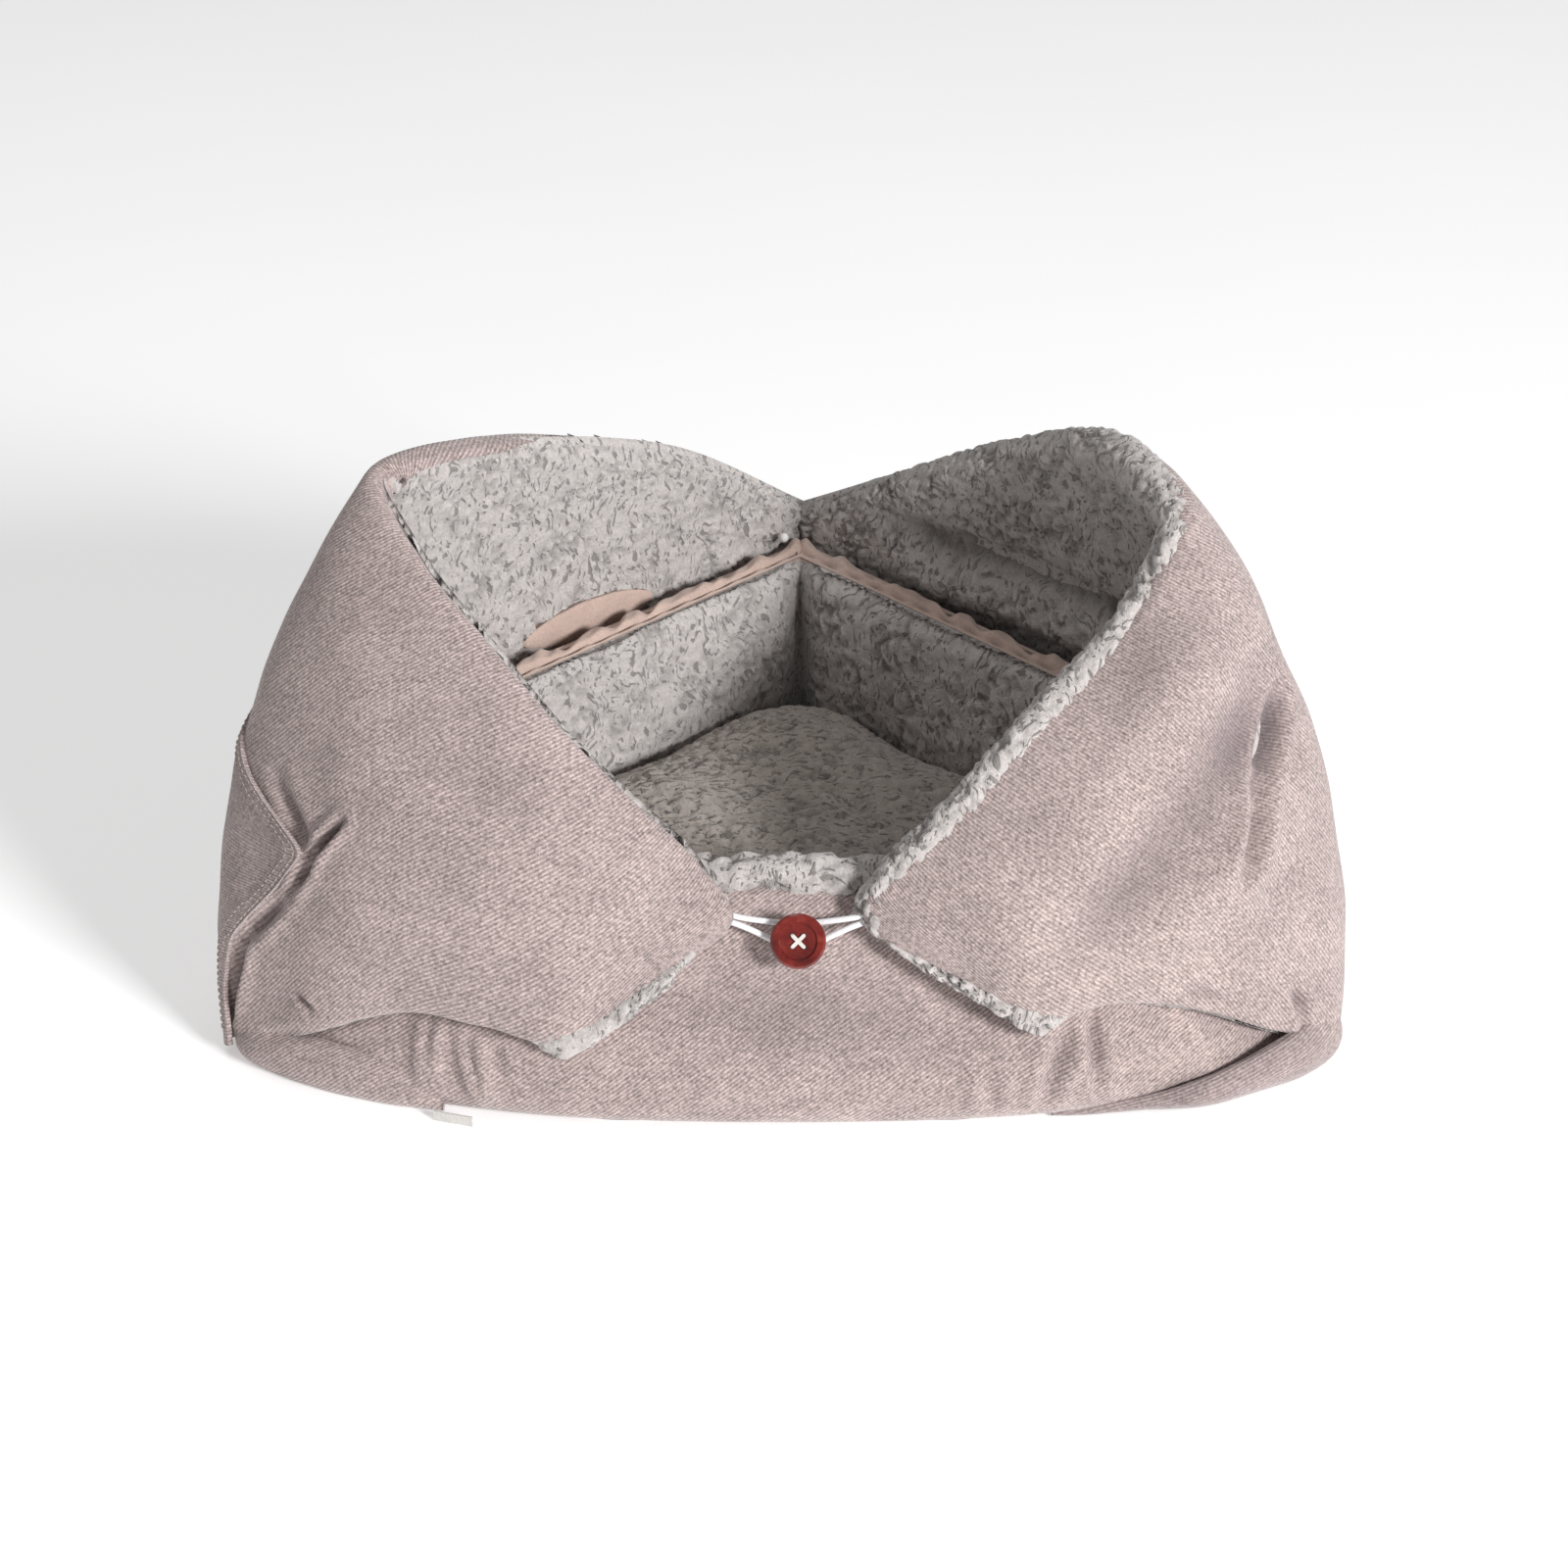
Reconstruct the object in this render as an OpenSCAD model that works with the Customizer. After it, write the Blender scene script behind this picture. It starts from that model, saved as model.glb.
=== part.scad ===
// Pet nest bed: a padded tub with a fleece lining, a loose cushion, and a tall
// collar whose two lapels fold over the front wall and hook on one button.
// Millimetres, +X to the right, +Y to the back, +Z up. The origin is on the
// floor under the middle of the bed.

/* [Bed] */
// Overall width of the bed
bed_w = 506; // [482:4:538]
// Overall depth of the bed
bed_d = 354; // [338:4:386]
// Height of the collar's highest point
bed_h = 253; // [241:4:277]

/* [Fabric] */
// Thickness of the twill outer fabric with its backing
cover_t = 1.6; // [1.2:0.1:2]
// Depth of the fleece lining's pile
pile_t = 4.5; // [4:0.5:5]
// Thickness of the wadding in the collar and the front wall
wadding_t = 10; // [9:0.5:11]
// Thickness of the wadding in the inner back walls
fence_wadding_t = 10; // [8:0.5:12]
// Height of the inner back walls above the floor
fence_top = 134; // [120:1:138]

/* [Cushion] */
// Height of the loose cushion's crown above its base
cushion_h = 58; // [45:1:60]

/* [Button] */
// Diameter of the button
button_d = 24; // [20:0.5:26]
// Thickness of the button
button_t = 4.5; // [3.5:0.5:6]
// Diameter of the elastic cord
elastic_d = 2.6; // [2:0.1:2.8]

/* [Hidden] */

// Colours of the materials
twill = [0.69, 0.62, 0.61];
fleece = [0.72, 0.70, 0.69];
wadding = [0.93, 0.93, 0.91];
tape = [0.78, 0.68, 0.65];
white = [0.95, 0.95, 0.96];
brown = [0.42, 0.14, 0.12];

// The nets below are drawn for a bed of this size and scaled to the one asked for
net_size = [506, 354, 253];
net_middle_y = 3;
function at(p) = [p[0] * bed_w / net_size[0], (p[1] - net_middle_y) * bed_d / net_size[1],
    len(p) > 2 ? p[2] * bed_h / net_size[2] : 0];

// Clearance between layers that lie on each other
gap = 0.3;
slab_top = 18;
floor_top = slab_top + gap + 4;

// Outline of the base, from the back corner round the left side, half of it
base_half = [[9, 180], [-100, 72], [-200, -29], [-240, -72], [-250, -102], [-234, -127],
    [-190, -149], [-110, -168], [0, -174]];
base_outline = concat(base_half,
    [for (i = [len(base_half) - 2 : -1 : 1]) [-base_half[i][0], base_half[i][1]]]);

// The slab of wadding inside the walls, in plan: [corner, radius]
slab_half = [[[-212, -72], 20], [[-192, -104], 20], [[-148, -122], 20], [[-84, -134], 20]];
slab_corners = concat([[[9, 149], 16]], slab_half,
    [for (i = [3 : -1 : 0]) [[-slab_half[i][0][0], slab_half[i][0][1]], 20]]);

// Corners of the collar's outer line, in plan
back_corner = [9, 181];
side_corner = [250, -78];

// Nets of outer surfaces. Each column runs bottom, middle, top.
left_collar_net = [
    [[9, 180, 2], [9, 180, 68], [9, 180, 134]],
    [[-56, 116, 2], [-60, 121, 100], [-52, 113, 197]],
    [[-120, 50, 2], [-124, 58, 120], [-108, 52, 232]],
    [[-196, -26, 2], [-192, -12, 130], [-148, 10, 250]],
    [[-251, -101, 2], [-241, -64, 130], [-182, -29, 253]]];
right_collar_net = [
    [[9, 180, 2], [9, 180, 68], [9, 180, 134]],
    [[74, 116, 2], [77, 120, 98], [66, 112, 188]],
    [[138, 50, 2], [141, 58, 118], [110, 68, 221]],
    [[202, -20, 2], [196, -6, 126], [152, 13, 248]],
    [[251, -101, 2], [240, -63, 128], [174, -38, 240]]];
left_lapel_net = [
    [[-251, -104, 14], [-241, -67, 130], [-182, -32, 253]],
    [[-216, -134, 30], [-202, -116, 136], [-159, -68, 230]],
    [[-168, -151, 48], [-158, -138, 133], [-128, -94, 204]],
    [[-131, -163, 48], [-119, -154, 116], [-95, -118, 173]],
    [[-97, -170, 45], [-84, -158, 100], [-66, -131, 147]],
    [[-60, -161, 64], [-50, -154, 95], [-40, -140, 124]],
    [[-24, -148, 88], [-21, -148, 97], [-25, -145, 106]]];
right_lapel_net = [
    [[251, -106, 14], [240, -68, 128], [174, -43, 240]],
    [[219, -137, 30], [203, -115, 130], [159, -65, 217]],
    [[179, -150, 48], [168, -130, 129], [138, -83, 194]],
    [[142, -160, 57], [129, -146, 118], [104, -107, 168]],
    [[111, -167, 55], [95, -155, 102], [74, -126, 141]],
    [[80, -160, 68], [64, -154, 95], [48, -138, 119]],
    [[37, -149, 89], [33, -147, 97], [35, -143, 105]]];
front_wall_half = [
    [[-226, -104, 2], [-212, -92, 40], [-196, -78, 70]],
    [[-214, -134, 2], [-194, -110, 44], [-178, -96, 80]],
    [[-174, -155, 2], [-160, -130, 50], [-148, -112, 92]],
    [[-100, -170, 2], [-96, -148, 54], [-92, -125, 99]],
    [[0, -174, 2], [0, -151, 56], [0, -125, 103]]];
front_wall_net = concat(front_wall_half,
    [for (i = [3 : -1 : 0]) [for (p = front_wall_half[i]) [-p[0], p[1], p[2]]]]);

// Loose cushion, in plan: [corner, radius] from the back corner round the left
cushion_corners = [[[9, 117], 40], [[-152, -40], 44], [[-44, -108], 60], [[44, -108], 60],
    [[152, -40], 44]];

// ---- functions -------------------------------------------------------------

function unit(v) = v / norm(v);
function flat(p) = [p[0], p[1]];

// Catmull-Rom blend of four points
function spline(a, b, c, d, t) =
    0.5 * (2 * b + (c - a) * t + (2 * a - 5 * b + 4 * c - d) * t * t + (3 * b - a - 3 * c + d) * t * t * t);

// Point on an open curve through the points, u from 0 to 1
function curve(p, u) =
    let (n = len(p) - 1, i = min(floor(u * n), n - 1))
    spline(i > 0 ? p[i - 1] : 2 * p[0] - p[1], p[i], p[i + 1],
        i < n - 1 ? p[i + 2] : 2 * p[n] - p[n - 1], u * n - i);

// The same on a closed outline
function ring_curve(p, u) =
    let (n = len(p), i = floor(u * n))
    spline(p[(i + n - 1) % n], p[i % n], p[(i + 1) % n], p[(i + 2) % n], u * n - i);

// Point on a net's surface: curve along u, parabola through the three rows in v
function net_point(net, u, v) =
    let (row = [for (j = [0 : 2]) at(curve([for (c = net) c[j]], u))])
    row[0] * (1 - v) * (1 - 2 * v) + row[1] * 4 * v * (1 - v) + row[2] * v * (2 * v - 1);

// Normal of a net's surface, pointing into the bed. side is 1 for a net that
// runs round the left of the bed or along its front, -1 for one round the right.
function net_normal(net, u, v, side) =
    let (e = 0.01, u0 = max(u - e, 0), u1 = min(u + e, 1), v0 = max(v - e, 0), v1 = min(v + e, 1))
    side * unit(cross(net_point(net, u, v1) - net_point(net, u, v0),
        net_point(net, u1, v) - net_point(net, u0, v)));

// Closed plan polygon of the base, drawn in by d
function base_ring(d, n = 72) =
    let (p = [for (i = [0 : n - 1]) flat(at(ring_curve(base_outline, i / n)))])
    [for (i = [0 : n - 1]) let (t = unit(p[(i + 1) % n] - p[(i + n - 1) % n])) p[i] + d * [-t[1], t[0]]];

// Plan polygon with rounded corners, drawn in by d
function rounded(corners, d, steps = 6) = [
    for (i = [0 : len(corners) - 1])
        let (n = len(corners), c = flat(at(corners[i][0])), r = corners[i][1],
            a = unit(flat(at(corners[(i + n - 1) % n][0])) - c),
            b = unit(flat(at(corners[(i + 1) % n][0])) - c),
            bisector = unit(a + b), half = acos(a * b) / 2,
            centre = c + bisector * r / sin(half),
            middle = atan2(-bisector[1], -bisector[0]))
        for (k = [0 : steps])
            let (angle = middle + (k / steps - 0.5) * (180 - 2 * half))
            centre + (r - d) * [cos(angle), sin(angle)]];

// Plan polygon of a straight back wall between depths a and b from the collar's
// outer line, mitred at the back corner. side is -1 for the left, 1 for the right.
function wall_plan(side, a, b, length) =
    let (from = flat(at(back_corner)), to = flat(at([side * side_corner[0], side_corner[1]])),
        along = unit(to - from), inward = side * [along[1], -along[0]])
    [for (k = [[a, 0], [a, 1], [b, 1], [b, 0]])
        let (mitre = (gap + abs(inward[0]) * k[0]) / abs(along[0]))
        from + inward * k[0] + along * (k[1] == 1 ? length : mitre)];

// ---- shared shapes ---------------------------------------------------------

// Solid layer between depths a and b below a net's outer surface. The ends lie
// along the directions given in ends, foot keeps the lower edge level, taper
// thins the layer towards the far end, and short leaves off its last columns.
module layer(net, side, a, b, cols, rows, ends, foot, taper, short) {
    last = cols - short;
    per_face = (last + 1) * (rows + 1);
    function direction(i, u, v) =
        let (n = net_normal(net, u, v, side), end = i == 0 ? ends[0] : i == cols ? ends[1] : undef)
        end != undef ? end : foot ? unit([n[0], n[1], n[2] * min(1, 2 * v)]) : n;
    function spot(i, j, depth) =
        let (u = i / cols, v = j / rows)
        net_point(net, u, v) + direction(i, u, v) * depth * (1 - taper * u);
    function id(k, i, j) = k * per_face + i * (rows + 1) + j;
    function split(q, turned) =
        let (f = turned ? [q[0], q[3], q[2], q[1]] : q)
        [[f[0], f[1], f[2]], [f[0], f[2], f[3]]];
    right = side == -1;
    points = [for (depth = [a, b]) for (i = [0 : last]) for (j = [0 : rows]) spot(i, j, depth)];
    skins = [for (k = [0, 1]) for (i = [0 : last - 1]) for (j = [0 : rows - 1])
        each split([id(k, i, j), id(k, i, j + 1), id(k, i + 1, j + 1), id(k, i + 1, j)], (k == 1) != right)];
    sides = [for (i = [0, last]) for (j = [0 : rows - 1])
        each split([id(0, i, j), id(1, i, j), id(1, i, j + 1), id(0, i, j + 1)], (i == last) != right)];
    rims = [for (j = [0, rows]) for (i = [0 : last - 1])
        each split([id(0, i, j), id(0, i + 1, j), id(1, i + 1, j), id(1, i, j)], (j == rows) != right)];
    polyhedron(points, concat(skins, sides, rims), convexity = 6);
}

// Depths of a padded wall's layers
core_a = cover_t + gap;
core_b = core_a + wadding_t;
lining_a = core_b + gap;
lining_b = lining_a + pile_t;

// One layer of a padded wall: its cover, its wadding or its lining
module padded(part, net, side, cols, rows, ends = [undef, undef], foot = false, taper = 0, short = 0) {
    if (part == "cover")
        color(twill) layer(net, side, 0, cover_t, cols, rows, ends, foot, taper, 0);
    if (part == "wadding")
        color(wadding) layer(net, side, core_a, core_b, cols, rows, ends, foot, taper, short);
    if (part == "lining")
        color(fleece) layer(net, side, lining_a, lining_b, cols, rows, ends, foot, taper, 0);
}

// Straight back wall layer between two heights
module wall_layer(side, a, b, z0, z1) {
    translate([0, 0, z0]) linear_extrude(z1 - z0) polygon(wall_plan(side, a, b, fence_l));
}

// Solid of stacked closed rings, each [height, plan points]
module ring_loft(rings) {
    n = len(rings[0][1]);
    m = len(rings);
    middle = flat(at([0, -10]));
    points = concat([for (r = rings) for (p = r[1]) [p[0], p[1], r[0]]],
        [for (r = [rings[0], rings[m - 1]]) [middle[0], middle[1], r[0]]]);
    sides = [for (k = [0 : m - 2]) for (i = [0 : n - 1])
        let (a = k * n + i, b = k * n + (i + 1) % n)
        each [[a, a + n, b + n], [a, b + n, b]]];
    lower = [for (i = [0 : n - 1]) [n * m, i, (i + 1) % n]];
    upper = [for (i = [0 : n - 1]) [n * m + 1, (m - 1) * n + (i + 1) % n, (m - 1) * n + i]];
    polyhedron(points, concat(sides, lower, upper), convexity = 4);
}

// ---- base ------------------------------------------------------------------

module base_panel() {
    color(twill) linear_extrude(cover_t) polygon(base_ring(0.5));
}

module base_wadding() {
    color(wadding) translate([0, 0, cover_t + gap])
        linear_extrude(slab_top - cover_t - gap) polygon(rounded(slab_corners, 0));
}

module floor_lining() {
    color(fleece) translate([0, 0, slab_top + gap])
        linear_extrude(floor_top - slab_top - gap) polygon(rounded(slab_corners, 0));
}

// ---- walls -----------------------------------------------------------------

module front_wall(part) {
    padded(part, front_wall_net, 1, 20, 4, foot = true);
}

fence_a = lining_b + 4;
fence_b = fence_a + cover_t;
fence_c = fence_b + gap + fence_wadding_t;
fence_d = fence_c + gap + pile_t;
fence_l = 262;
binding_h = 2.4;

module fence_cover(side) {
    color(tape) wall_layer(side, fence_a, fence_b, floor_top + gap, fence_top);
}

module fence_wadding(side) {
    color(wadding) wall_layer(side, fence_b + gap, fence_c, floor_top + gap, fence_top);
}

module fence_lining(side) {
    color(fleece) wall_layer(side, fence_c + gap, fence_d, floor_top + gap, fence_top);
}

module fence_binding(side) {
    color(tape) wall_layer(side, fence_a, fence_d, fence_top + gap, fence_top + gap + binding_h);
}

// ---- collar and lapels -----------------------------------------------------------

// Directions of the mitred ends, at the back corner and where a lapel folds
back_mitre = [0, -1.414, 0];
fold_mitre = [1.35, 0, 0];

module left_collar(part) {
    padded(part, left_collar_net, 1, 10, 5, [back_mitre, fold_mitre], true);
}

module right_collar(part) {
    padded(part, right_collar_net, -1, 10, 5, [back_mitre, -fold_mitre], true);
}

module left_lapel(part) {
    padded(part, left_lapel_net, 1, 14, 5, [fold_mitre, net_normal(left_lapel_net, 1, 0.5, 1)],
        taper = 0.3, short = 1);
}

module right_lapel(part) {
    padded(part, right_lapel_net, -1, 14, 5, [-fold_mitre, net_normal(right_lapel_net, 1, 0.5, -1)],
        taper = 0.3, short = 1);
}

// ---- button and elastic -------------------------------------------------------------

button_u = 0.508;
button_v = 0.74;
button_at = net_point(front_wall_net, button_u, button_v) + [0, -0.3, 0];
button_out = -net_normal(front_wall_net, 0.5, button_v, 1);
shank_l = 11.6;
shank_r = 1.6;
hole_r = 1.1;
hole_at = 2.4;
thread_r = 0.8;
holes = [for (x = [-1, 1]) for (y = [-1, 1]) [x * hole_at, y * hole_at]];

// Puts its children on the front wall, +Z out of it and +Y up it
module on_wall(lift = 0) {
    translate(button_at) rotate([acos(button_out[2]), 0, 0]) translate([0, 0, lift]) children();
}

module button() {
    rim_w = 3.2;
    dish = 1.1;
    color(brown) on_wall(shank_l) difference() {
        union() {
            cylinder(h = button_t - 1, d1 = button_d - 2, d2 = button_d, $fn = 72);
            translate([0, 0, button_t - 1]) cylinder(h = 1, d1 = button_d, d2 = button_d - 2, $fn = 72);
        }
        translate([0, 0, button_t - dish])
            cylinder(h = dish + 1, d1 = button_d - 2 * rim_w - 2, d2 = button_d - 2 * rim_w, $fn = 72);
        for (h = holes) translate([h[0], h[1], -1]) cylinder(h = button_t + 2, r = hole_r, $fn = 24);
    }
}

// Shank of wound thread, the strands through the button's holes and the cross on top
module button_thread() {
    cross_l = 3 * hole_at;
    under = 0.4;
    color(brown / 2) on_wall() {
        cylinder(h = shank_l - under, r = shank_r, $fn = 24);
        translate([0, 0, shank_l - under])
            cylinder(h = under - 0.1, r = hole_at * 1.414 + thread_r, $fn = 32);
        for (h = holes) translate([h[0], h[1], shank_l - under])
            cylinder(h = button_t, r = thread_r, $fn = 16);
        for (a = [45, 135]) rotate([0, 0, a]) translate([-cross_l / 2, -thread_r, shank_l + button_t - 1])
            cube([cross_l, 2 * thread_r, 1]);
    }
}

// Middle of a lapel's tip, between its cover and its lining, drawn back a little
function tip(net, side) =
    net_point(net, 0.975, 0.5) + net_normal(net, 0.975, 0.5, side) * lining_a * 0.35;

// Elastic loop from a tip round the button's shank, lift above the wall
module loop(anchor, lift) {
    turn_r = shank_r + elastic_d / 2 + 2;
    hold = button_at + button_out * lift;
    long = norm(anchor - hold);
    x = unit(anchor - hold);
    y = unit(cross(button_out, x));
    z = cross(x, y);
    close = asin((turn_r - elastic_d * 0.6) / long);
    turn = [for (i = [0 : 2]) [x[i], y[i], z[i], hold[i]]];
    color(white) multmatrix(concat(turn, [[0, 0, 0, 1]])) {
        rotate([0, 0, 90]) rotate_extrude(angle = 180, $fn = 48)
            translate([turn_r, 0]) circle(d = elastic_d, $fn = 16);
        for (k = [-1, 1]) translate([0, k * turn_r, 0]) rotate([0, 90, -k * close])
            translate([0, 0, -0.4]) cylinder(h = long + 0.4, d = elastic_d, $fn = 16);
    }
}

// Bar of stitches that holds a loop's two ends inside a lapel's tip
module loop_tack(anchor, side) {
    size = [3, 4, 6];
    color(tape) translate(anchor + [side * size[0] * 0.85, 0, 0]) translate(-size / 2) cube(size);
}

// ---- cushion ----------------------------------------------------------------------------

cushion_z = floor_top + gap;
// Heights above the cushion's base, as shares of its crown, and how far each ring is drawn in
cushion_rings = [[0.08, 7], [0.24, 1.5], [0.5, 0], [0.78, 3], [0.93, 13], [1, 34]];
last_ring = len(cushion_rings) - 1;

function cushion_ring(k, d, dz) =
    [cushion_z + cushion_rings[k][0] * cushion_h + dz, rounded(cushion_corners, cushion_rings[k][1] + d)];

module cushion_base() {
    color(twill) translate([0, 0, cushion_z]) linear_extrude(cover_t) polygon(rounded(cushion_corners, 8));
}

module cushion_fill() {
    color(wadding) ring_loft([for (k = [0 : last_ring])
        cushion_ring(k, pile_t + 2 * gap, -(pile_t + 2 * gap) * k / last_ring)]);
}

module cushion_top() {
    color(fleece) difference() {
        ring_loft([for (k = [0 : last_ring]) cushion_ring(k, 0, 0)]);
        ring_loft([for (k = [0 : last_ring]) cushion_ring(k, pile_t, k == 0 ? -1 : -pile_t * k / last_ring)]);
    }
}

// ---- small trims ----------------------------------------------------------------------------

module corner_tack() {
    tack_r = 2.3;
    spot = at([0, 138]);
    color(white) translate([spot[0], spot[1], fence_top + gap + binding_h + tack_r + 0.1])
        sphere(r = tack_r, $fn = 24);
}

module care_label() {
    color(white) translate(at([-154, -163.5, 0]) + [0, 0, 0.2]) rotate([0, 0, -16]) cube([18, 0.8, 5]);
}

base_panel();
base_wadding();
floor_lining();
front_wall("cover");  // front_wall_cover
front_wall("wadding");  // front_wall_wadding
front_wall("lining");  // front_wall_lining
fence_cover(-1);  // left_fence_cover
fence_wadding(-1);  // left_fence_wadding
fence_lining(-1);  // left_fence_lining
fence_binding(-1);  // left_fence_binding
fence_cover(1);  // right_fence_cover
fence_wadding(1);  // right_fence_wadding
fence_lining(1);  // right_fence_lining
fence_binding(1);  // right_fence_binding
left_collar("cover");  // left_collar_cover
left_collar("wadding");  // left_collar_wadding
left_collar("lining");  // left_collar_lining
right_collar("cover");  // right_collar_cover
right_collar("wadding");  // right_collar_wadding
right_collar("lining");  // right_collar_lining
left_lapel("cover");  // left_lapel_cover
left_lapel("wadding");  // left_lapel_wadding
left_lapel("lining");  // left_lapel_lining
right_lapel("cover");  // right_lapel_cover
right_lapel("wadding");  // right_lapel_wadding
right_lapel("lining");  // right_lapel_lining
loop(tip(left_lapel_net, 1), 3.9);  // left_loop
loop_tack(tip(left_lapel_net, 1), -1);  // left_loop_tack
loop(tip(right_lapel_net, -1), 8.3);  // right_loop
loop_tack(tip(right_lapel_net, -1), 1);  // right_loop_tack
button();
button_thread();
cushion_top();
cushion_fill();
cushion_base();
corner_tack();
care_label();
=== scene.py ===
"""The looks of a pet nest bed: ribbed cloth, lambswool-style fleece, a loose cushion and a buttoned collar.

Each padded wall is a surface lofted through a few control points, with a cloth skin on its outside, a fleece
skin on its inside and a rolled fleece edge. Sizes in the tables are in millimetres.
"""

import math

import bpy
import numpy as np
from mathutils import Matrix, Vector, noise


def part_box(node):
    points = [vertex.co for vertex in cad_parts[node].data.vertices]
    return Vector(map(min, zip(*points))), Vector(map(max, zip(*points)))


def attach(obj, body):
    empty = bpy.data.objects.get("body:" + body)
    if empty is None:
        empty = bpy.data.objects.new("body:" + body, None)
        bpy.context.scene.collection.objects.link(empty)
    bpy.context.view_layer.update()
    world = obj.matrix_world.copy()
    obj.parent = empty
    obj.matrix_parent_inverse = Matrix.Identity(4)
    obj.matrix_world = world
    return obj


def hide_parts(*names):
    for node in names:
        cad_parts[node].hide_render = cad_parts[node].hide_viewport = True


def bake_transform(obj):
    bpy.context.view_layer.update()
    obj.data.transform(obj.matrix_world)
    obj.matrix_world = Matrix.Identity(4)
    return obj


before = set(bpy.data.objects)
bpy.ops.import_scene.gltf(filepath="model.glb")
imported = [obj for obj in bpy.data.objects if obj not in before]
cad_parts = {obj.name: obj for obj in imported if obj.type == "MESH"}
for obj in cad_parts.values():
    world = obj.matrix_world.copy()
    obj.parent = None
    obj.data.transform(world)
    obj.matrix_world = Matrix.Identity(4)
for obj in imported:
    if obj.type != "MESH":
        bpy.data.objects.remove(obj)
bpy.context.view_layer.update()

MM = 0.001
DETAIL = 1.0  # all grids get coarser by this much
FINE_GRID, CLOTH_GRID, FLEECE_GRID, WIDE_GRID = (step * DETAIL for step in (1.6, 1.8, 1.9, 2.0))
ROLL_STEP = 1.7 * DETAIL

WALL = 16.5  # thickness of a padded wall
CLOTH = 3.0  # thickness of its cloth skin
FACE, BACKING = WALL - 0.8, WALL - 6  # how deep the fleece skin's two faces lie
CREASE_DARK = 9.0  # a crease this deep gets the darkest painted shade
PILE = 8.0  # radius of a rolled fleece edge
CRACK_WIDTH = 0.18  # of the cracks in the fleece, as a share of a clump
ELASTIC = 2.6  # thickness of the elastic loops
PLUMP = 3.0  # how far the collar's rim stands above its control points
EASE = 7.0  # how far a corner in a roll's path is rounded each way
FLOOR_GAP = 0.3  # lowest point of any piece above the floor
INTO_BED = {"left": 1, "right": -1}  # which way a net's normals have to be turned to point into the bed

# ---- control points ----

# Outer surfaces. Each column runs from its lower edge through its middle to its upper edge.
# The left and right nets are the collar as far as the column FOLD, then the lapel down to its tip.
LEFT_NET = [
    [(9, 177, 2), (9, 177, 68), (9, 177, 134)],
    [(-56, 113, 2), (-60, 118, 100), (-52, 110, 197)],
    [(-120, 47, 2), (-124, 55, 120), (-108, 49, 232)],
    [(-196, -29, 2), (-192, -15, 130), (-148, 7, 250)],
    [(-251, -105, 3), (-241, -69, 130), (-182, -33, 253)],
    [(-217, -139, 25), (-202, -119, 136), (-159, -71, 230)],
    [(-168, -155, 47), (-158, -141, 133), (-128, -97, 204)],
    [(-131, -166, 48), (-119, -157, 116), (-95, -121, 173)],
    [(-97, -173, 45), (-84, -161, 100), (-66, -134, 147)],
    [(-60, -164, 64), (-50, -157, 95), (-40, -143, 124)],
    [(-24, -151, 88), (-21, -151, 97), (-25, -148, 106)],
]
RIGHT_NET = [
    [(9, 177, 2), (9, 177, 68), (9, 177, 134)],
    [(74, 113, 2), (77, 117, 98), (66, 109, 188)],
    [(138, 47, 2), (141, 55, 118), (110, 65, 221)],
    [(202, -23, 2), (196, -9, 126), (152, 10, 248)],
    [(251, -106, 6), (240, -69, 128), (174, -43, 240)],
    [(219, -140, 28), (203, -118, 130), (159, -68, 217)],
    [(179, -153, 48), (168, -133, 129), (138, -86, 194)],
    [(142, -163, 57), (129, -149, 118), (104, -110, 168)],
    [(111, -170, 55), (95, -158, 102), (74, -129, 141)],
    [(80, -163, 68), (64, -157, 95), (48, -141, 119)],
    [(37, -152, 89), (33, -150, 97), (35, -146, 105)],
]
FRONT_NET = [
    [(-243, -99, 4), (-224, -90, 36), (-196, -81, 70)],
    [(-234, -128, 2), (-204, -110, 42), (-178, -99, 80)],
    [(-188, -152, 1), (-165, -136, 50), (-148, -115, 92)],
    [(-104, -172, 1), (-97, -152, 54), (-92, -128, 99)],
    [(0, -177, 1), (0, -154, 56), (0, -128, 102)],
    [(104, -172, 1), (97, -152, 54), (92, -128, 97)],
    [(188, -152, 1), (165, -136, 50), (148, -115, 90)],
    [(234, -128, 2), (204, -110, 42), (178, -99, 80)],
    [(243, -99, 4), (224, -90, 36), (196, -81, 70)],
]
# Cloth that goes round the front corners under the lapels
LEFT_CORNER_NET = [
    [(-247, -98, 1), (-248, -99, 8), (-245, -97, 16)],
    [(-243, -118, 1), (-246, -120, 11), (-239, -117, 22)],
    [(-229, -132, 1), (-232, -135, 13), (-225, -130, 26)],
    [(-207, -143, 1), (-209, -147, 13), (-203, -141, 28)],
    [(-178, -154, 1), (-179, -158, 11), (-175, -152, 24)],
    [(-150, -160, 1), (-150, -162, 5), (-148, -158, 10)],
]
RIGHT_CORNER_NET = [
    [(222, -60, 2), (222, -60, 14), (219, -59, 28)],
    [(249, -106, 1), (252, -108, 15), (243, -107, 32)],
    [(235, -132, 1), (238, -135, 14), (229, -132, 29)],
    [(205, -149, 1), (207, -153, 11), (199, -149, 21)],
    [(170, -160, 1), (171, -163, 7), (165, -159, 13)],
    [(118, -163, 1), (118, -164, 3), (116, -161, 5)],
]
COLLARS = {"left": np.array(LEFT_NET, float), "right": np.array(RIGHT_NET, float)}
FOLD = 4  # the column where the collar turns into the lapel
TIP = 9.3  # the column where the lapel's blunt tip begins
TIP_TURN, BACK_TURN = 3.0, 5.0  # radius of a skin's edge at the tip and at the back corner

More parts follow.
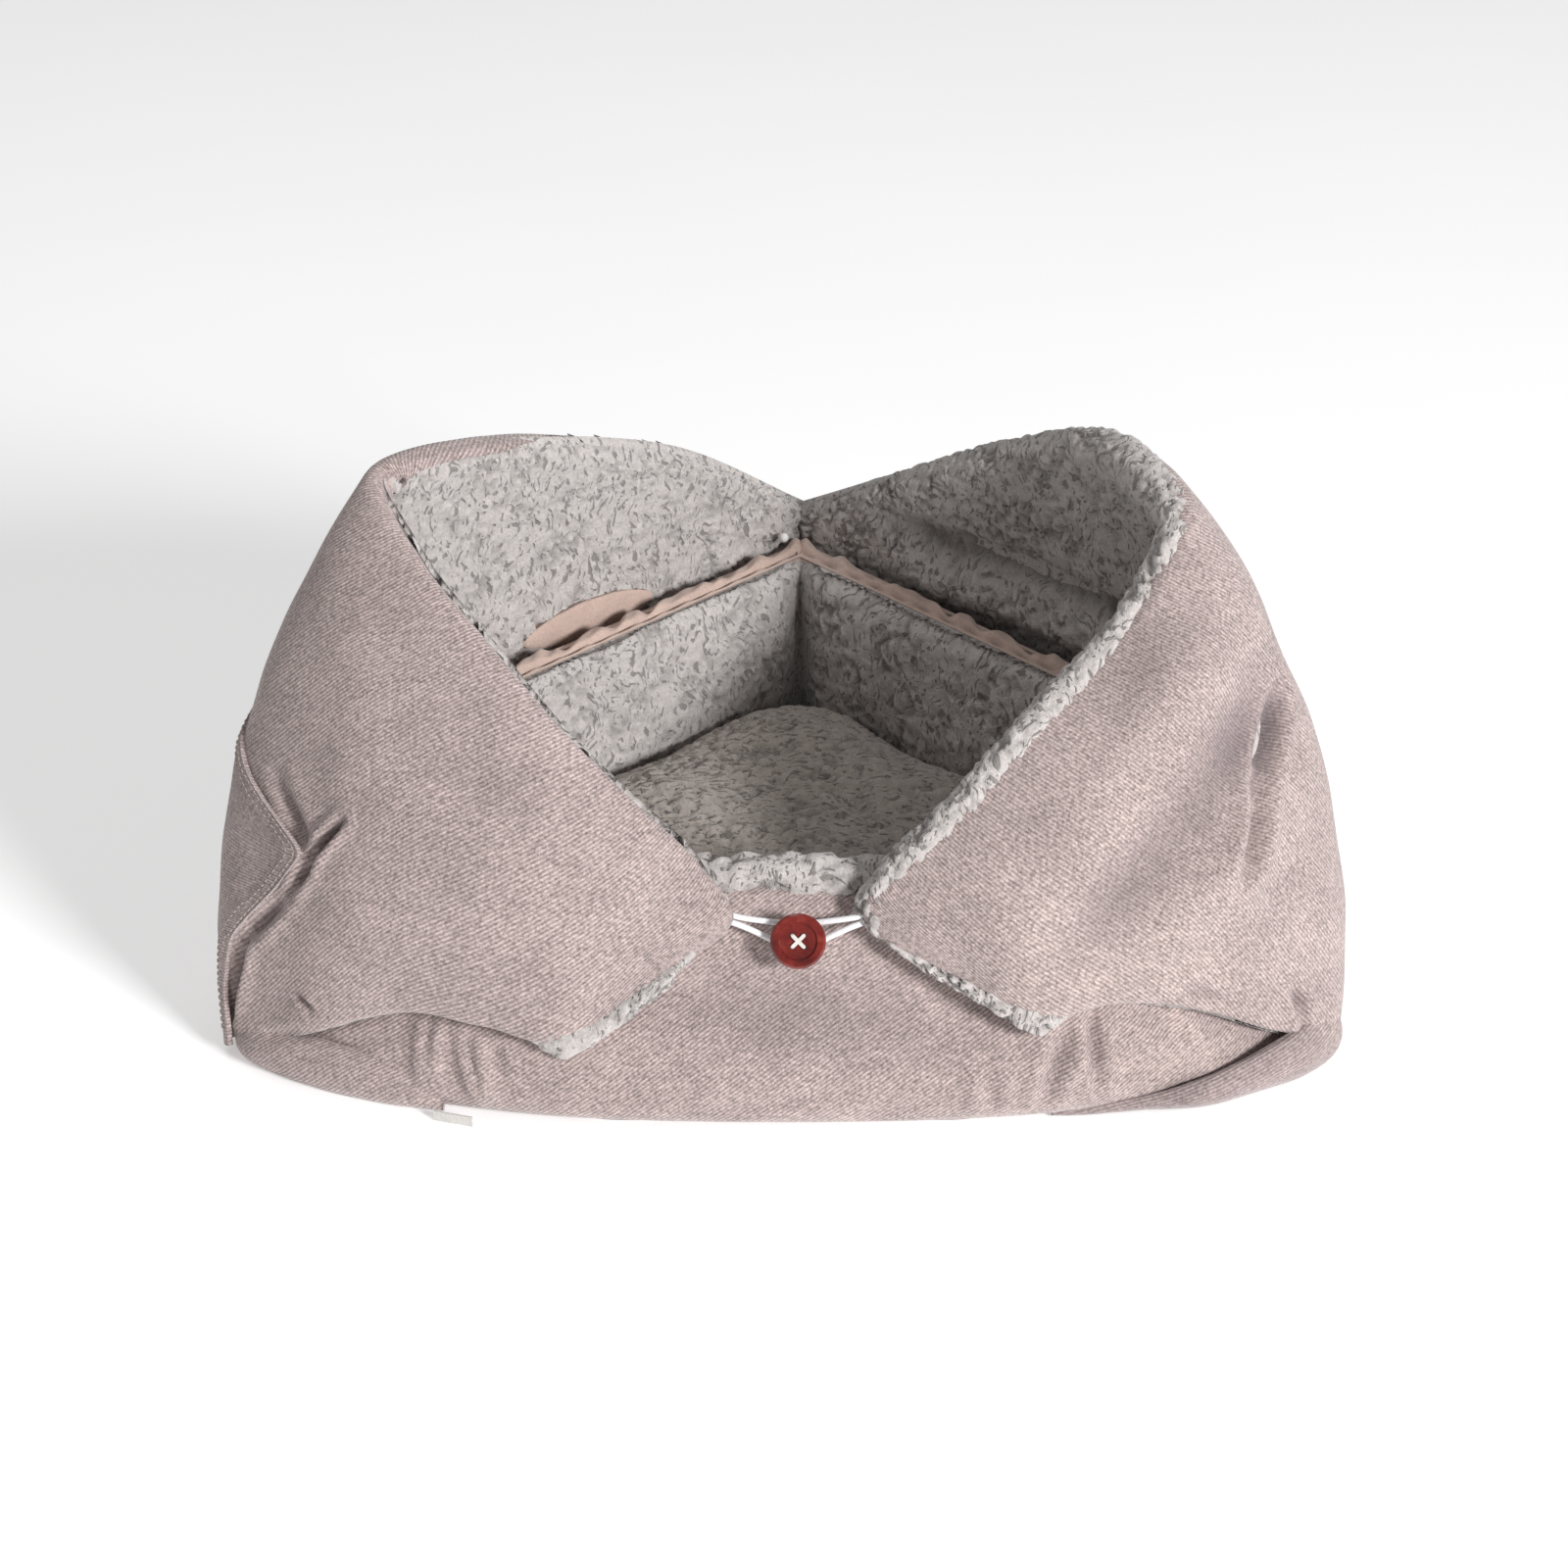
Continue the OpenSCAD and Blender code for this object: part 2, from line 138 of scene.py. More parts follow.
# Hem of the side panel's cloth where it lies over the left lapel's root: heights, and the column at each
FLAP_HEM = ([0.0, 0.1, 0.2, 0.31, 0.39, 0.49, 0.6, 0.74], [4.3, 4.3, 4.42, 4.8, 5.0, 4.4, 3.8, 2.9])
FLAP_BACK = 2.7  # the column where the side panel's cloth comes out from under the collar's
FLAP_SEAMS = (3.0, 8.5)  # how far its two rows of stitches lie from the hem
STITCH, STITCH_PITCH = 2.3, 3.4  # length of a stitch, and from one to the next

# The bare patch on the left: its middle and how far it reaches to each side, in columns and in height
PATCH_COLUMNS = (1.73, 0.47)
PATCH_HEIGHTS = (131, 11)

# How far the fleece roll stands out from the edge, by column: along the rim, and along the lapel's hem.
# Below zero it is buried in the wall.
RIM_REACH = {
    "left": (
        [0, 1.3, 1.9, 4.5, 6.5, 8.6, 9.2, 10],
        [4, 3, -9, -9, -3, -2, -6, -6],
    ),
    "right": ([0, 2.4, 3.4, 6, 10], [4, 6, 8, 7, 5]),
}
HEM_REACH = {
    "left": ([6.2, 7.0, 7.7, 8.1, 9.3, 10], [-9, -7, 4, 10, 9, -6]),
    "right": ([6.2, 7.0, 7.7, 8.1, 9.5, 10], [-9, -7, 4, 10, 10, 5]),
}
# How far the roll lies inside the middle of the wall, and its radius, by how far it stands out
ROLL_DEPTH = ([-9, -6, -4, -1, 3, 5, 10], [0, 6, 3, 2, 0, 0, -3])
ROLL_RADIUS = ([-9, -6, -4, -2, 0], [2.5, 2.8, 4.8, 6.5, PILE])

# Which way the ribs follow one another on each panel
RIBS = {
    "left": (-0.545, 0.42, 0.726),
    "right": (0.643, 0.383, 0.663),
    "front": (-0.59, 0.4, 0.7),
    "corner": (-0.5, 0.43, 0.75),
    "flap": (-0.75, 0.3, 0.55),
}

# The two fences run from the back corner to the sides. Depths count from the line they are drawn along.
FENCE_CORNER = np.array([9.0, 178.0])
FENCE_ENDS = {"left": (-250, -81), "right": (250, -81)}
FENCE_LENGTH = 262
FENCE_FOOT, FENCE_TOP = 22, 134  # heights
FENCE_REAR, FENCE_FACE = 21.5, 37.5  # depths


def plan(back, left):
    """Corners of a plan, each with its radius: the back one, the left ones, and the same mirrored."""
    right = [((-x, y), radius) for (x, y), radius in reversed(left)]
    return [back, *left, *right]


CUSHION = plan(((9, 114), 40), [((-152, -43), 44), ((-44, -111), 60)])
PAD_REACH = 150  # an inset this large draws a ring in to its middle
CUSHION_FIT = 0.985  # how much smaller its looks are, so that its lumps stay inside
FLOOR = plan(((9, 150), 20), [((-212, -75), 20), ((-192, -107), 20), ((-148, -125), 20), ((-84, -137), 20)])
BOTTOM = plan(((9, 181), 14), [((-258, -88), 46), ((-226, -136), 40), ((-150, -160), 60), ((-80, -174), 80)])

# Creases pressed into the cloth: start, end, depth, half width. A depth below zero is a ridge.
# The cloth's colour also gets painted shade in each crease, the more the deeper it is.
CREASES = [
    # the left lapel's wedge and its root
    ((-206, -129, 113), (-191, -131, 133), 13, 2.2),
    ((-206, -129, 111), (-218, -129, 93), 9, 2.6),
    ((-218, -129, 93), (-241, -117, 62), 8, 3),
    ((-241, -117, 62), (-249, -113, 22), 8, 3),
    ((-225, -100, 138), (-207, -127, 115), 4, 4),
    ((-216, -139, 47), (-209, -143, 42), 4, 2),
    ((-238, -125, 14), (-206, -142, 33), 3, 3),
    # the right lapel's folds and wide hollows
    ((220, -74, 168), (208, -110, 137), 8, 4),
    ((208, -110, 137), (198, -137, 104), 9, 4),
    ((220, -78, 172), (180, -121, 138), 7, 17),
    ((168, -130, 126), (124, -156, 90), 6, 15),
    ((192, -76, 205), (130, -122, 142), -4, 15),
    ((214, -116, 128), (170, -148, 92), -4, 15),
    # the front wall's and the left lapel's wide hollows
    ((-60, -166, 60), (70, -166, 50), 4, 22),
    ((-158, -118, 168), (-104, -144, 142), 2.5, 13),
    ((-180, -76, 214), (-146, -108, 188), 2, 13),
    # the sides and the back
    ((226, -132, 46), (231, -130, 26), 6, 3),
    ((20, 166, 20), (60, 130, 90), 4, 8),
    ((-2, 166, 20), (-50, 126, 110), 4, 9),
    ((-170, 0, 16), (-140, 30, 100), 4, 11),
    ((170, 10, 16), (150, 30, 110), 4, 10),
    # gathers below the lapels and at the front wall's foot
    ((176, -153, 60), (196, -146, 48), 3, 3),
    ((-155, -148, 42), (-158, -164, 10), 9, 2.6),
    ((-138, -155, 38), (-130, -171, 6), 11, 2.4),
    ((-126, -159, 34), (-119, -170, 16), 5, 3),
    ((-178, -148, 30), (-226, -134, 8), 5, 4),
    ((133, -150, 46), (138, -170, 6), 7, 3),
    ((122, -155, 42), (112, -174, 6), 6, 4),
    ((88, -168, 30), (92, -179, 2), 7, 4),
    ((160, -146, 44), (188, -153, 20), 6, 5),
    ((-40, -178, 8), (0, -176, 14), 3, 6),
    ((30, -178, 6), (60, -176, 12), 3, 6),
]


# ---- surfaces ----


def smoothstep(low, high, x):
    """0 below low, 1 above high, eased between them."""
    t = np.clip((x - low) / (high - low), 0, 1)
    return t * t * (3 - 2 * t)


def spline(points, at):
    """Catmull-Rom curve through points[0], points[1] and so on, at the given places."""
    points = np.asarray(points, float)
    padded = np.concatenate([[2 * points[0] - points[1]], points, [2 * points[-1] - points[-2]]])
    i = np.clip(np.floor(at).astype(int), 0, len(points) - 2)
    t = (at - i).reshape((-1,) + (1,) * (points.ndim - 1))
    a, b, c, d = padded[i], padded[i + 1], padded[i + 2], padded[i + 3]
    return 0.5 * (2 * b + (c - a) * t + (2 * a - 5 * b + 4 * c - d) * t**2 + (3 * b - a - 3 * c + d) * t**3)


def loft(net, u, v):
    """Grid of points on the surface through a net, at columns u and heights v from 0 to 1."""
    low, middle, high = (row[:, None] for row in spline(net, u).transpose(1, 0, 2))
    v = np.broadcast_to(v, (len(u), np.shape(v)[-1]))[..., None]
    return low * (1 - v) * (1 - 2 * v) + middle * 4 * v * (1 - v) + high * v * (2 * v - 1)


def lengths(grid, axis):
    """Running length along one direction of a grid."""
    step = np.linalg.norm(np.diff(grid, axis=axis), axis=2)
    start = np.zeros_like(step[:1] if axis == 0 else step[:, :1])
    return np.cumsum(np.concatenate([start, step], axis=axis), axis=axis)


def travelled(path):
    """Running length along a path."""
    return np.insert(np.cumsum(np.linalg.norm(np.diff(path, axis=0), axis=1)), 0, 0)


def even(net, pitch):
    """Columns and heights of a net that are about pitch apart on its surface."""
    u, v = np.linspace(0, len(net) - 1, 400), np.linspace(0, 1, 100)
    grid = loft(net, u, v)
    along = lengths(grid, 0).mean(axis=1)
    up = lengths(grid, 1)
    count_u, count_v = int(along[-1] / pitch) + 1, int(up[:, -1].max() / pitch) + 1
    return (
        np.interp(np.linspace(0, along[-1], count_u), along, u),
        np.interp(np.linspace(0, 1, count_v), up.mean(axis=0) / up[:, -1].mean(), v),
    )


def grown(net, u, v, below, above):
    """Heights that reach further than 0 to 1 by the given millimetres."""
    tall = lengths(loft(net, u, v), 1)[:, -1:]
    return v * (1 + (below + above) / tall) - below / tall


def unit(v):
    return v / np.maximum(np.linalg.norm(v, axis=-1, keepdims=True), 1e-9)


def inward(grid, sign):
    """Normals of a grid that point into the bed, given a sign from INTO_BED."""
    return sign * unit(np.cross(np.gradient(grid, axis=1), np.gradient(grid, axis=0)))


def rounded_edge(grid, normal, distance, tangent, radius, sweep=math.pi / 2):
    """Turns a grid over along an edge in an arc: distance is how far each point is from the edge."""
    s = np.clip(radius * sweep - distance, 0, None)
    turn = s / radius
    lift = radius * (1 - np.cos(turn))
    back = s - radius * np.sin(turn)
    return grid + normal * lift[..., None] - tangent * back[..., None]


# ---- relief ----


def crease_relief(points):
    """How far the creases press the cloth in at each point, with a low ridge beside each of them."""
    relief = np.zeros(points.shape[:-1])
    for start, end, depth, half in CREASES:
        a, b = np.array(start, float), np.array(end, float)
        t = np.clip(((points - a) @ (b - a)) / ((b - a) @ (b - a)), 0, 1)
        d = np.linalg.norm(points - (a + t[..., None] * (b - a)), axis=-1)
        fade = np.sin(np.pi * np.clip(t * 0.8 + 0.1, 0, 1))
        relief += depth * fade * (np.exp(-((d / half) ** 2)) - 0.35 * np.exp(-(((d - 2 * half) / half) ** 2)))
    return relief


def soft_relief(points, size, seed):
    """Smooth noise from about -1 to 1, with lumps of the given size."""
    flat = points.reshape(-1, 3) / size + seed * 7.3
    return np.array([noise.noise(Vector(p)) for p in flat]).reshape(points.shape[:-1])


def panel_lumps(points):
    """The wide unevenness of a padded panel's cloth."""
    return soft_relief(points, 75, 1) * 3.5 + soft_relief(points, 28, 2) * 0.9


def fleece_relief(points, clump=8.0, depth=1.3):
    """(height, painted shade) of curled fleece: soft clumps with short cracks between some of them, which get
    painted shade.
    """
    flat = points.reshape(-1, 3)
    height, painted_shade = np.empty(len(flat)), np.empty(len(flat))
    for k, p in enumerate(flat):
        p = Vector(p)
        warped = p / clump + 0.5 * noise.noise_vector(p / 7.0)
        distance = noise.voronoi(warped)[0]
        edge = distance[1] - distance[0]
        open_here = noise.noise(p / 14.0 + Vector((9, 2, 4)))
        crack = max(0.0, 1 - edge / CRACK_WIDTH) * min(1.0, max(0.1, 0.4 + 1.6 * open_here))
        mound = 1.1 * math.sqrt(min(1.0, edge / 0.5))
        height[k] = depth * (mound - 1.7 * crack) + 0.5 * noise.noise(p / 3.5)
        painted_shade[k] = crack
    shape = points.shape[:-1]
    return height.reshape(shape), painted_shade.reshape(shape)


# ---- meshes ----


def make_mesh(name, points, faces, material, painted_shade=None, rib=None):
    """A smooth mesh from points in millimetres, which keeps its resting place for its material."""
    points = np.array(points, float)
    points[:, 2] = np.maximum(points[:, 2], FLOOR_GAP)
    mesh = bpy.data.meshes.new(name)
    mesh.from_pydata((points * MM).tolist(), [], [[int(i) for i in face] for face in faces])
    rest = mesh.attributes.new("rest", "FLOAT_VECTOR", "POINT")
    rest.data.foreach_set("vector", (points * MM).astype(np.float32).ravel())
    for label, values in (("painted_shade", painted_shade), ("rib", rib)):
        if values is not None:
            held = mesh.attributes.new(label, "FLOAT", "POINT")
            held.data.foreach_set("value", np.asarray(values, np.float32))
    mesh.polygons.foreach_set("use_smooth", np.ones(len(mesh.polygons), dtype=bool))
    mesh.update()
    piece = bpy.data.objects.new(name, mesh)
    bpy.context.scene.collection.objects.link(piece)
    mesh.materials.append(material)
    return piece


def grid_faces(rows, columns, offset=0, flip=False, wrap=False):
    """Quads of a grid of points, wrapped round in its second direction if asked."""
    i, j = np.meshgrid(np.arange(rows - 1), np.arange(columns if wrap else columns - 1), indexing="ij")
    here, there = i * columns, (i + 1) * columns
    after = (j + 1) % columns
    quads = np.stack([here + j, here + after, there + after, there + j], -1)
    quads = quads.reshape(-1, 4) + offset
    return quads[:, ::-1] if flip else quads


def slab(name, front, back, material, painted_shade=None, rib=None, flip=False):
    """A closed skin between two grids of points of the same size."""
    rows, columns = front.shape[:2]
    count = rows * columns
    index = np.arange(count).reshape(rows, columns)
    rim = np.concatenate([index[:, 0], index[-1, 1:], index[-2::-1, -1], index[0, -2:0:-1]])
    after = np.roll(rim, -1)
    sides = np.stack([rim, after, after + count, rim + count], -1)
    sides = sides[:, ::-1] if flip else sides
    outer = grid_faces(rows, columns, 0, not flip)
    inner = grid_faces(rows, columns, count, flip)
    faces = np.concatenate([outer, inner, sides])
    both = np.concatenate([front.reshape(-1, 3), back.reshape(-1, 3)])
    painted_shade = None if painted_shade is None else np.concatenate([painted_shade.ravel(), np.zeros(count)])
    rib = None if rib is None else np.tile(rib.ravel(), 2)
    return make_mesh(name, both, faces, material, painted_shade, rib)


def rib_lines(grid, across, middle=0.5):
    """Distance across the ribs of a cloth that lies on a grid: across is their direction near its middle."""
    i, j = int(middle * (grid.shape[0] - 1)), grid.shape[1] // 2
    run, rise = lengths(grid, 0), lengths(grid, 1)
    along, up = grid[i + 1, j] - grid[i, j], grid[i, j + 1] - grid[i, j]
    share = np.array([np.dot(across, along) / np.linalg.norm(along), np.dot(across, up) / np.linalg.norm(up)])
    share /= np.linalg.norm(share)
    return share[0] * (run - run[i]) + share[1] * (rise - rise[:, j : j + 1])


def fleece_tube(name, path, out, across, radius, material, clump=7.0, depth=1.5):
    """A lumpy tube along a path, given the two directions across it at each point."""
    around = int(2 * math.pi * radius.max() / FINE_GRID)
    angle = np.linspace(0, 2 * math.pi, around, endpoint=False)[None, :, None]
    normal = np.cos(angle) * out[:, None] + np.sin(angle) * across[:, None]
    rings = path[:, None] + normal * radius[:, None, None]
    height, painted_shade = fleece_relief(rings, clump, depth)
    rings = rings + normal * (height - 0.4 * depth)[..., None]
    rows, columns = rings.shape[:2]
    count = rows * columns
    points = np.concatenate([rings.reshape(-1, 3), path[:1], path[-1:]])
    last = count - columns
    faces = grid_faces(rows, columns, wrap=True).tolist()
    for k in range(columns):
        after = (k + 1) % columns
        faces.append([count, after, k])
        faces.append([count + 1, last + k, last + after])
    # painted shade in the cracks between the clumps, none at the end caps
    dark = np.append(np.clip(1.6 * painted_shade.ravel(), 0, 1), [0, 0])
    return make_mesh(name, points, faces, material, dark)


def sample_edge(edge, out, across, reach, pitch):
    """Evens out a path along an edge and smooths its corners: centre line, outward and across directions."""
    step = travelled(edge)
    places = np.arange(0, step[-1], pitch)
    width = int(EASE / pitch) + 1
    window = np.hanning(2 * width + 1)[1:-1]
    window /= window.sum()

    def ease(values):
        sampled = np.stack([np.interp(places, step, column) for column in values.T], -1)
        held = np.pad(sampled, ((width - 1, width - 1), (0, 0)), mode="edge")
        return np.stack([np.convolve(column, window, "valid") for column in held.T], -1)

    reach = ease(reach[:, None])
    out, across = unit(ease(out)), unit(ease(across))
    centre = ease(edge) + across * (WALL / 2) + out * (reach - PILE)
    return centre, out, across, reach[:, 0]


# ---- materials ----


class Nodes:
    """Short ways to add and join shader nodes of one material."""

    def __init__(self, name):
        self.material = bpy.data.materials.new(name)
        self.material.use_nodes = True
        self.tree = self.material.node_tree
        self.shader = self.tree.nodes["Principled BSDF"]

    def add(self, kind, inputs=None, **settings):
        node = self.tree.nodes.new(kind)
        for key, value in settings.items():
            setattr(node, key, value)
        for key, value in (inputs or {}).items():
            self.put(node.inputs[key], value)
        return node

    def put(self, socket, value):
        if isinstance(value, bpy.types.NodeSocket):
            self.tree.links.new(value, socket)
        else:
            socket.default_value = value

    def set(self, **inputs):
        for key, value in inputs.items():
            self.put(self.shader.inputs[key.replace("_", " ")], value)

    def held(self, name, output="Fac"):
        """What the mesh's points hold under a name."""
        return self.add("ShaderNodeAttribute", attribute_name=name).outputs[output]

    def rest(self):
        """Resting place, on the meshes made here."""
        return self.held("rest", "Vector")

    def own_place(self):
        """Place in the piece's own space, for the pieces without a resting place."""
        return self.add("ShaderNodeTexCoord").outputs["Object"]

    def noise(self, vector, scale, detail=2.0, roughness=0.5, output="Fac"):
        inputs = {"Vector": vector, "Scale": scale, "Detail": detail, "Roughness": roughness}
        return self.add("ShaderNodeTexNoise", inputs).outputs[output]

    def ramp(self, value, stops):
        node = self.add("ShaderNodeValToRGB", {"Fac": value})
        for k, (place, colour) in enumerate(stops):
            stop = node.color_ramp.elements[k] if k < 2 else node.color_ramp.elements.new(place)
            stop.position = place
            stop.color = (*colour, 1)
        return node.outputs["Color"]

    def mix(self, factor, a, b, blend="MIX"):
        node = self.add("ShaderNodeMix", data_type="RGBA", blend_type=blend)
        self.put(node.inputs[0], factor)
        self.put(node.inputs[6], a)
        self.put(node.inputs[7], b)
        return node.outputs[2]

    def math(self, operation, a, b=0.0, c=0.0):
        node = self.add("ShaderNodeMath", operation=operation)
        for socket, value in zip(node.inputs, (a, b, c)):
            self.put(socket, value)
        return node.outputs[0]

    def vector(self, operation, a, b):
        node = self.add("ShaderNodeVectorMath", operation=operation)
        self.put(node.inputs[0], a)
        self.put(node.inputs[1], b)
        return node.outputs["Vector"]

    def fade(self, value, low, high):
        """1 at low, easing to 0 at high."""
        inputs = {"Value": value, "From Min": low, "From Max": high, "To Min": 1.0, "To Max": 0.0}
        return self.add("ShaderNodeMapRange", inputs, interpolation_type="SMOOTHSTEP").outputs["Result"]

    def bump(self, height, strength, distance):
        inputs = {"Height": height, "Strength": strength, "Distance": distance}
        return self.add("ShaderNodeBump", inputs).outputs["Normal"]


def grey(value):
    return (value, value, value)


def shades(colour, dark, light, spread=0.2):
    """A ramp from a darker to a lighter shade of a colour."""
    return [(0.5 - spread, [c * dark for c in colour]), (0.5 + spread, [min(1, c * light) for c in colour])]


def ribbed_cloth(name, colour, pitch):
    """Brushed cloth with a fine rib, its pitch in millimetres, and painted shade in its folds."""
    n = Nodes(name)
    place = n.rest()
    fold = n.held("painted_shade")
    sway = n.math("MULTIPLY", n.noise(place, 70, 2), 3.0)
    phase = n.math("MULTIPLY_ADD", n.held("rib"), 2 * math.pi / pitch, sway)
    rib = n.math("MULTIPLY_ADD", n.math("SINE", phase), 0.5, 0.5)
    fleck = n.noise(place, 620, 3, 0.7)
    fuzz = n.noise(place, 1300, 3, 0.6)
    nap = n.noise(place, 26, 3, 0.6)
    brushed = n.noise(n.vector("MULTIPLY", place, (60, 60, 130)), 1.0, 3, 0.6)
    base = n.ramp(fleck, shades(colour, 0.4, 1.5, 0.16))
    base = n.mix(0.3, base, n.ramp(fuzz, shades(colour, 0.5, 1.4, 0.15)))
    base = n.mix(0.7, base, n.ramp(rib, [(0.1, grey(0.5)), (0.75, grey(1.0))]), "MULTIPLY")
    # painted shade in folds and cracks, towards a dark purple grey
    base = n.mix(n.math("MULTIPLY", fold, 0.75), base, (0.16, 0.13, 0.14, 1))
    base = n.mix(0.8, base, n.ramp(nap, [(0.35, grey(0.82)), (0.65, grey(1.0))]), "MULTIPLY")
    base = n.mix(0.6, base, n.ramp(brushed, [(0.35, grey(0.86)), (0.65, grey(1.0))]), "MULTIPLY")
    weave = n.math("ADD", n.math("MULTIPLY", rib, 0.6), n.math("MULTIPLY", fleck, 0.7))
    n.set(Base_Color=base, Roughness=0.92, Sheen_Weight=0.35, Sheen_Roughness=0.5)
    n.set(Normal=n.bump(weave, 0.6, 0.0006), Specular_IOR_Level=0.15)
    return n.material


def plain_cloth(name, colour, scale=900, roughness=0.9, has_rest=True):
    """Fine plain cloth, tape or cord."""
    n = Nodes(name)
    place = n.rest() if has_rest else n.own_place()
    threads = n.noise(place, scale, 3, 0.6)
    fine = n.ramp(threads, shades(colour, 0.75, 1.15))
    wide = n.ramp(n.noise(place, 60, 2), shades(colour, 0.75, 1.1))
    n.set(Base_Color=n.mix(0.4, fine, wide), Roughness=roughness, Sheen_Weight=0.25)
    n.set(Normal=n.bump(threads, 0.4, 0.0004))
    return n.material


def fleece_cloth(name, colour, deep, stretch):
    """Curled fleece with short slits, which are longest where stretch is lowest, and crevices, both darkened
    by painted shade.
    """
    n = Nodes(name)
    place = n.rest()
    painted_shade = n.held("painted_shade")
    drift = n.vector("MULTIPLY", n.noise(place, 40, 2, output="Color"), (0.03, 0.03, 0.03))
    dashes = n.vector("MULTIPLY", n.vector("ADD", place, drift), stretch)
    slit = n.fade(n.noise(dashes, 1.0, 1.0), 0.33, 0.43)
    curls = n.noise(place, 700, 4, 0.7)
    tufts = n.noise(place, 230, 3, 0.6)
    patch = n.noise(place, 24, 2)
    base = n.ramp(curls, shades(colour, 0.72, 1.22))
    base = n.mix(0.25, base, n.ramp(tufts, shades(colour, 0.75, 1.15)))
    base = n.mix(0.5, base, n.ramp(patch, [(0.35, grey(0.9)), (0.65, grey(1.0))]), "MULTIPLY")
    # painted shade: the slits and crevices darken towards the shade colour
    dark = n.math("MAXIMUM", n.math("MULTIPLY", painted_shade, 0.55), n.math("MULTIPLY", slit, 0.62))
    base = n.mix(dark, base, (*deep, 1))
    height = n.math("ADD", n.math("MULTIPLY", curls, 0.4), n.math("SUBTRACT", tufts, slit))
    n.set(Base_Color=base, Roughness=0.97, Sheen_Weight=0.35, Sheen_Roughness=0.6)
    n.set(Normal=n.bump(height, 0.7, 0.0015), Specular_IOR_Level=0.08)
    return n.material


def button_plastic(name):
    """Polished plastic with dark swirls."""
    n = Nodes(name)
    place = n.own_place()
    reds = [(0.3, (0.07, 0.006, 0.005)), (0.55, (0.17, 0.016, 0.012)), (0.75, (0.25, 0.04, 0.026))]
    n.set(Base_Color=n.ramp(n.noise(place, 130, 3, 0.6), reds), Roughness=0.2, Specular_IOR_Level=0.5)
    n.set(Coat_Weight=0.4, Coat_Roughness=0.06)
    n.set(Normal=n.bump(n.noise(place, 900, 2), 0.05, 0.0002))
    return n.material


TAUPE = (0.56, 0.45, 0.43)
GREY = (0.56, 0.52, 0.5)
SHADE = (0.07, 0.058, 0.05)
# the taupe cloth darkened as painted shade, for the cloth under the bed
TAUPE_IN_SHADE = (0.38, 0.315, 0.31)
twill = ribbed_cloth("twill", TAUPE, 1.6)
bottom_twill_in_shade = plain_cloth("bottom_twill_in_shade", TAUPE_IN_SHADE)
fleece = fleece_cloth("fleece", GREY, SHADE, (430, 430, 150))
# a darker, browner copy of the grey fleece: painted shade for the shadow the cushion lies in
cushion_fleece_in_shade = fleece_cloth("cushion_fleece_in_shade", (0.385, 0.335, 0.3), SHADE, (150, 400, 430))
tape = plain_cloth("tape", (0.56, 0.42, 0.36))
elastic = plain_cloth("elastic", (0.86, 0.85, 0.86), 1400, 0.7, has_rest=False)
stitching = plain_cloth("stitching", (0.5, 0.42, 0.39), 2000)
thread = plain_cloth("thread", (0.7, 0.66, 0.62), 2000, has_rest=False)
label_cloth = plain_cloth("label_cloth", (0.66, 0.64, 0.61), 1500, has_rest=False)
plastic = button_plastic("button_plastic")


# ---- pieces ----


def follow(piece):
    """Bakes the placement of a piece of a collar half into its mesh."""
    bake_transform(piece)


def fixed(piece):
    """Joins a padded piece to the bed itself."""
    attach(piece, "base")


def narrowed(rise):
    """How much smaller the turned edges get where a collar half is low."""
    return np.clip(rise[:, -1:] / 55, 0.3, 1)


def turned(grid, normal, radius, top_radius, sweep=math.pi / 2):
    """Turns a collar half's skin over at its rim, hem, tip and back corner."""
    rise, run = lengths(grid, 1), lengths(grid, 0)
    fit = narrowed(rise)
    up, along = unit(np.gradient(grid, axis=1)), unit(np.gradient(grid, axis=0))
    grid = rounded_edge(grid, normal, rise[:, -1:] - rise, up, top_radius * fit, sweep)
    grid = rounded_edge(grid, normal, rise, -up, radius * fit)
    grid = rounded_edge(grid, normal, run[-1:] - run, along, TIP_TURN)
    return rounded_edge(grid, normal, run, -along, BACK_TURN)


def collar_places(net, pitch):
    """Even columns and heights of a collar half, which reach a little past both of its ends."""
    u, v = even(net, pitch)
    u[0] -= 0.03
    u[-1] += 0.05
    return u, v


def collar_grid(net, u, v, hem, rim, sweep=math.pi / 2):
    """The surface of a collar half, with what its turned edges take in added to it."""
    fit = narrowed(lengths(loft(net, u, v), 1))
    below = hem * (math.pi / 2 - 1) * fit
    above = rim * (sweep - 1) * fit + PLUMP * smoothstep(FOLD + 2, FOLD - 1, u)[:, None]
    return loft(net, u, grown(net, u, v, below, above))


def collar_normal(u, grid, sign):
    """Directions into the bed, held steady near the tip, where the rim and the tip's edge nearly line up."""
    normal = inward(grid, sign)
    normal[u > TIP] = normal[u <= TIP][-1]
    return normal


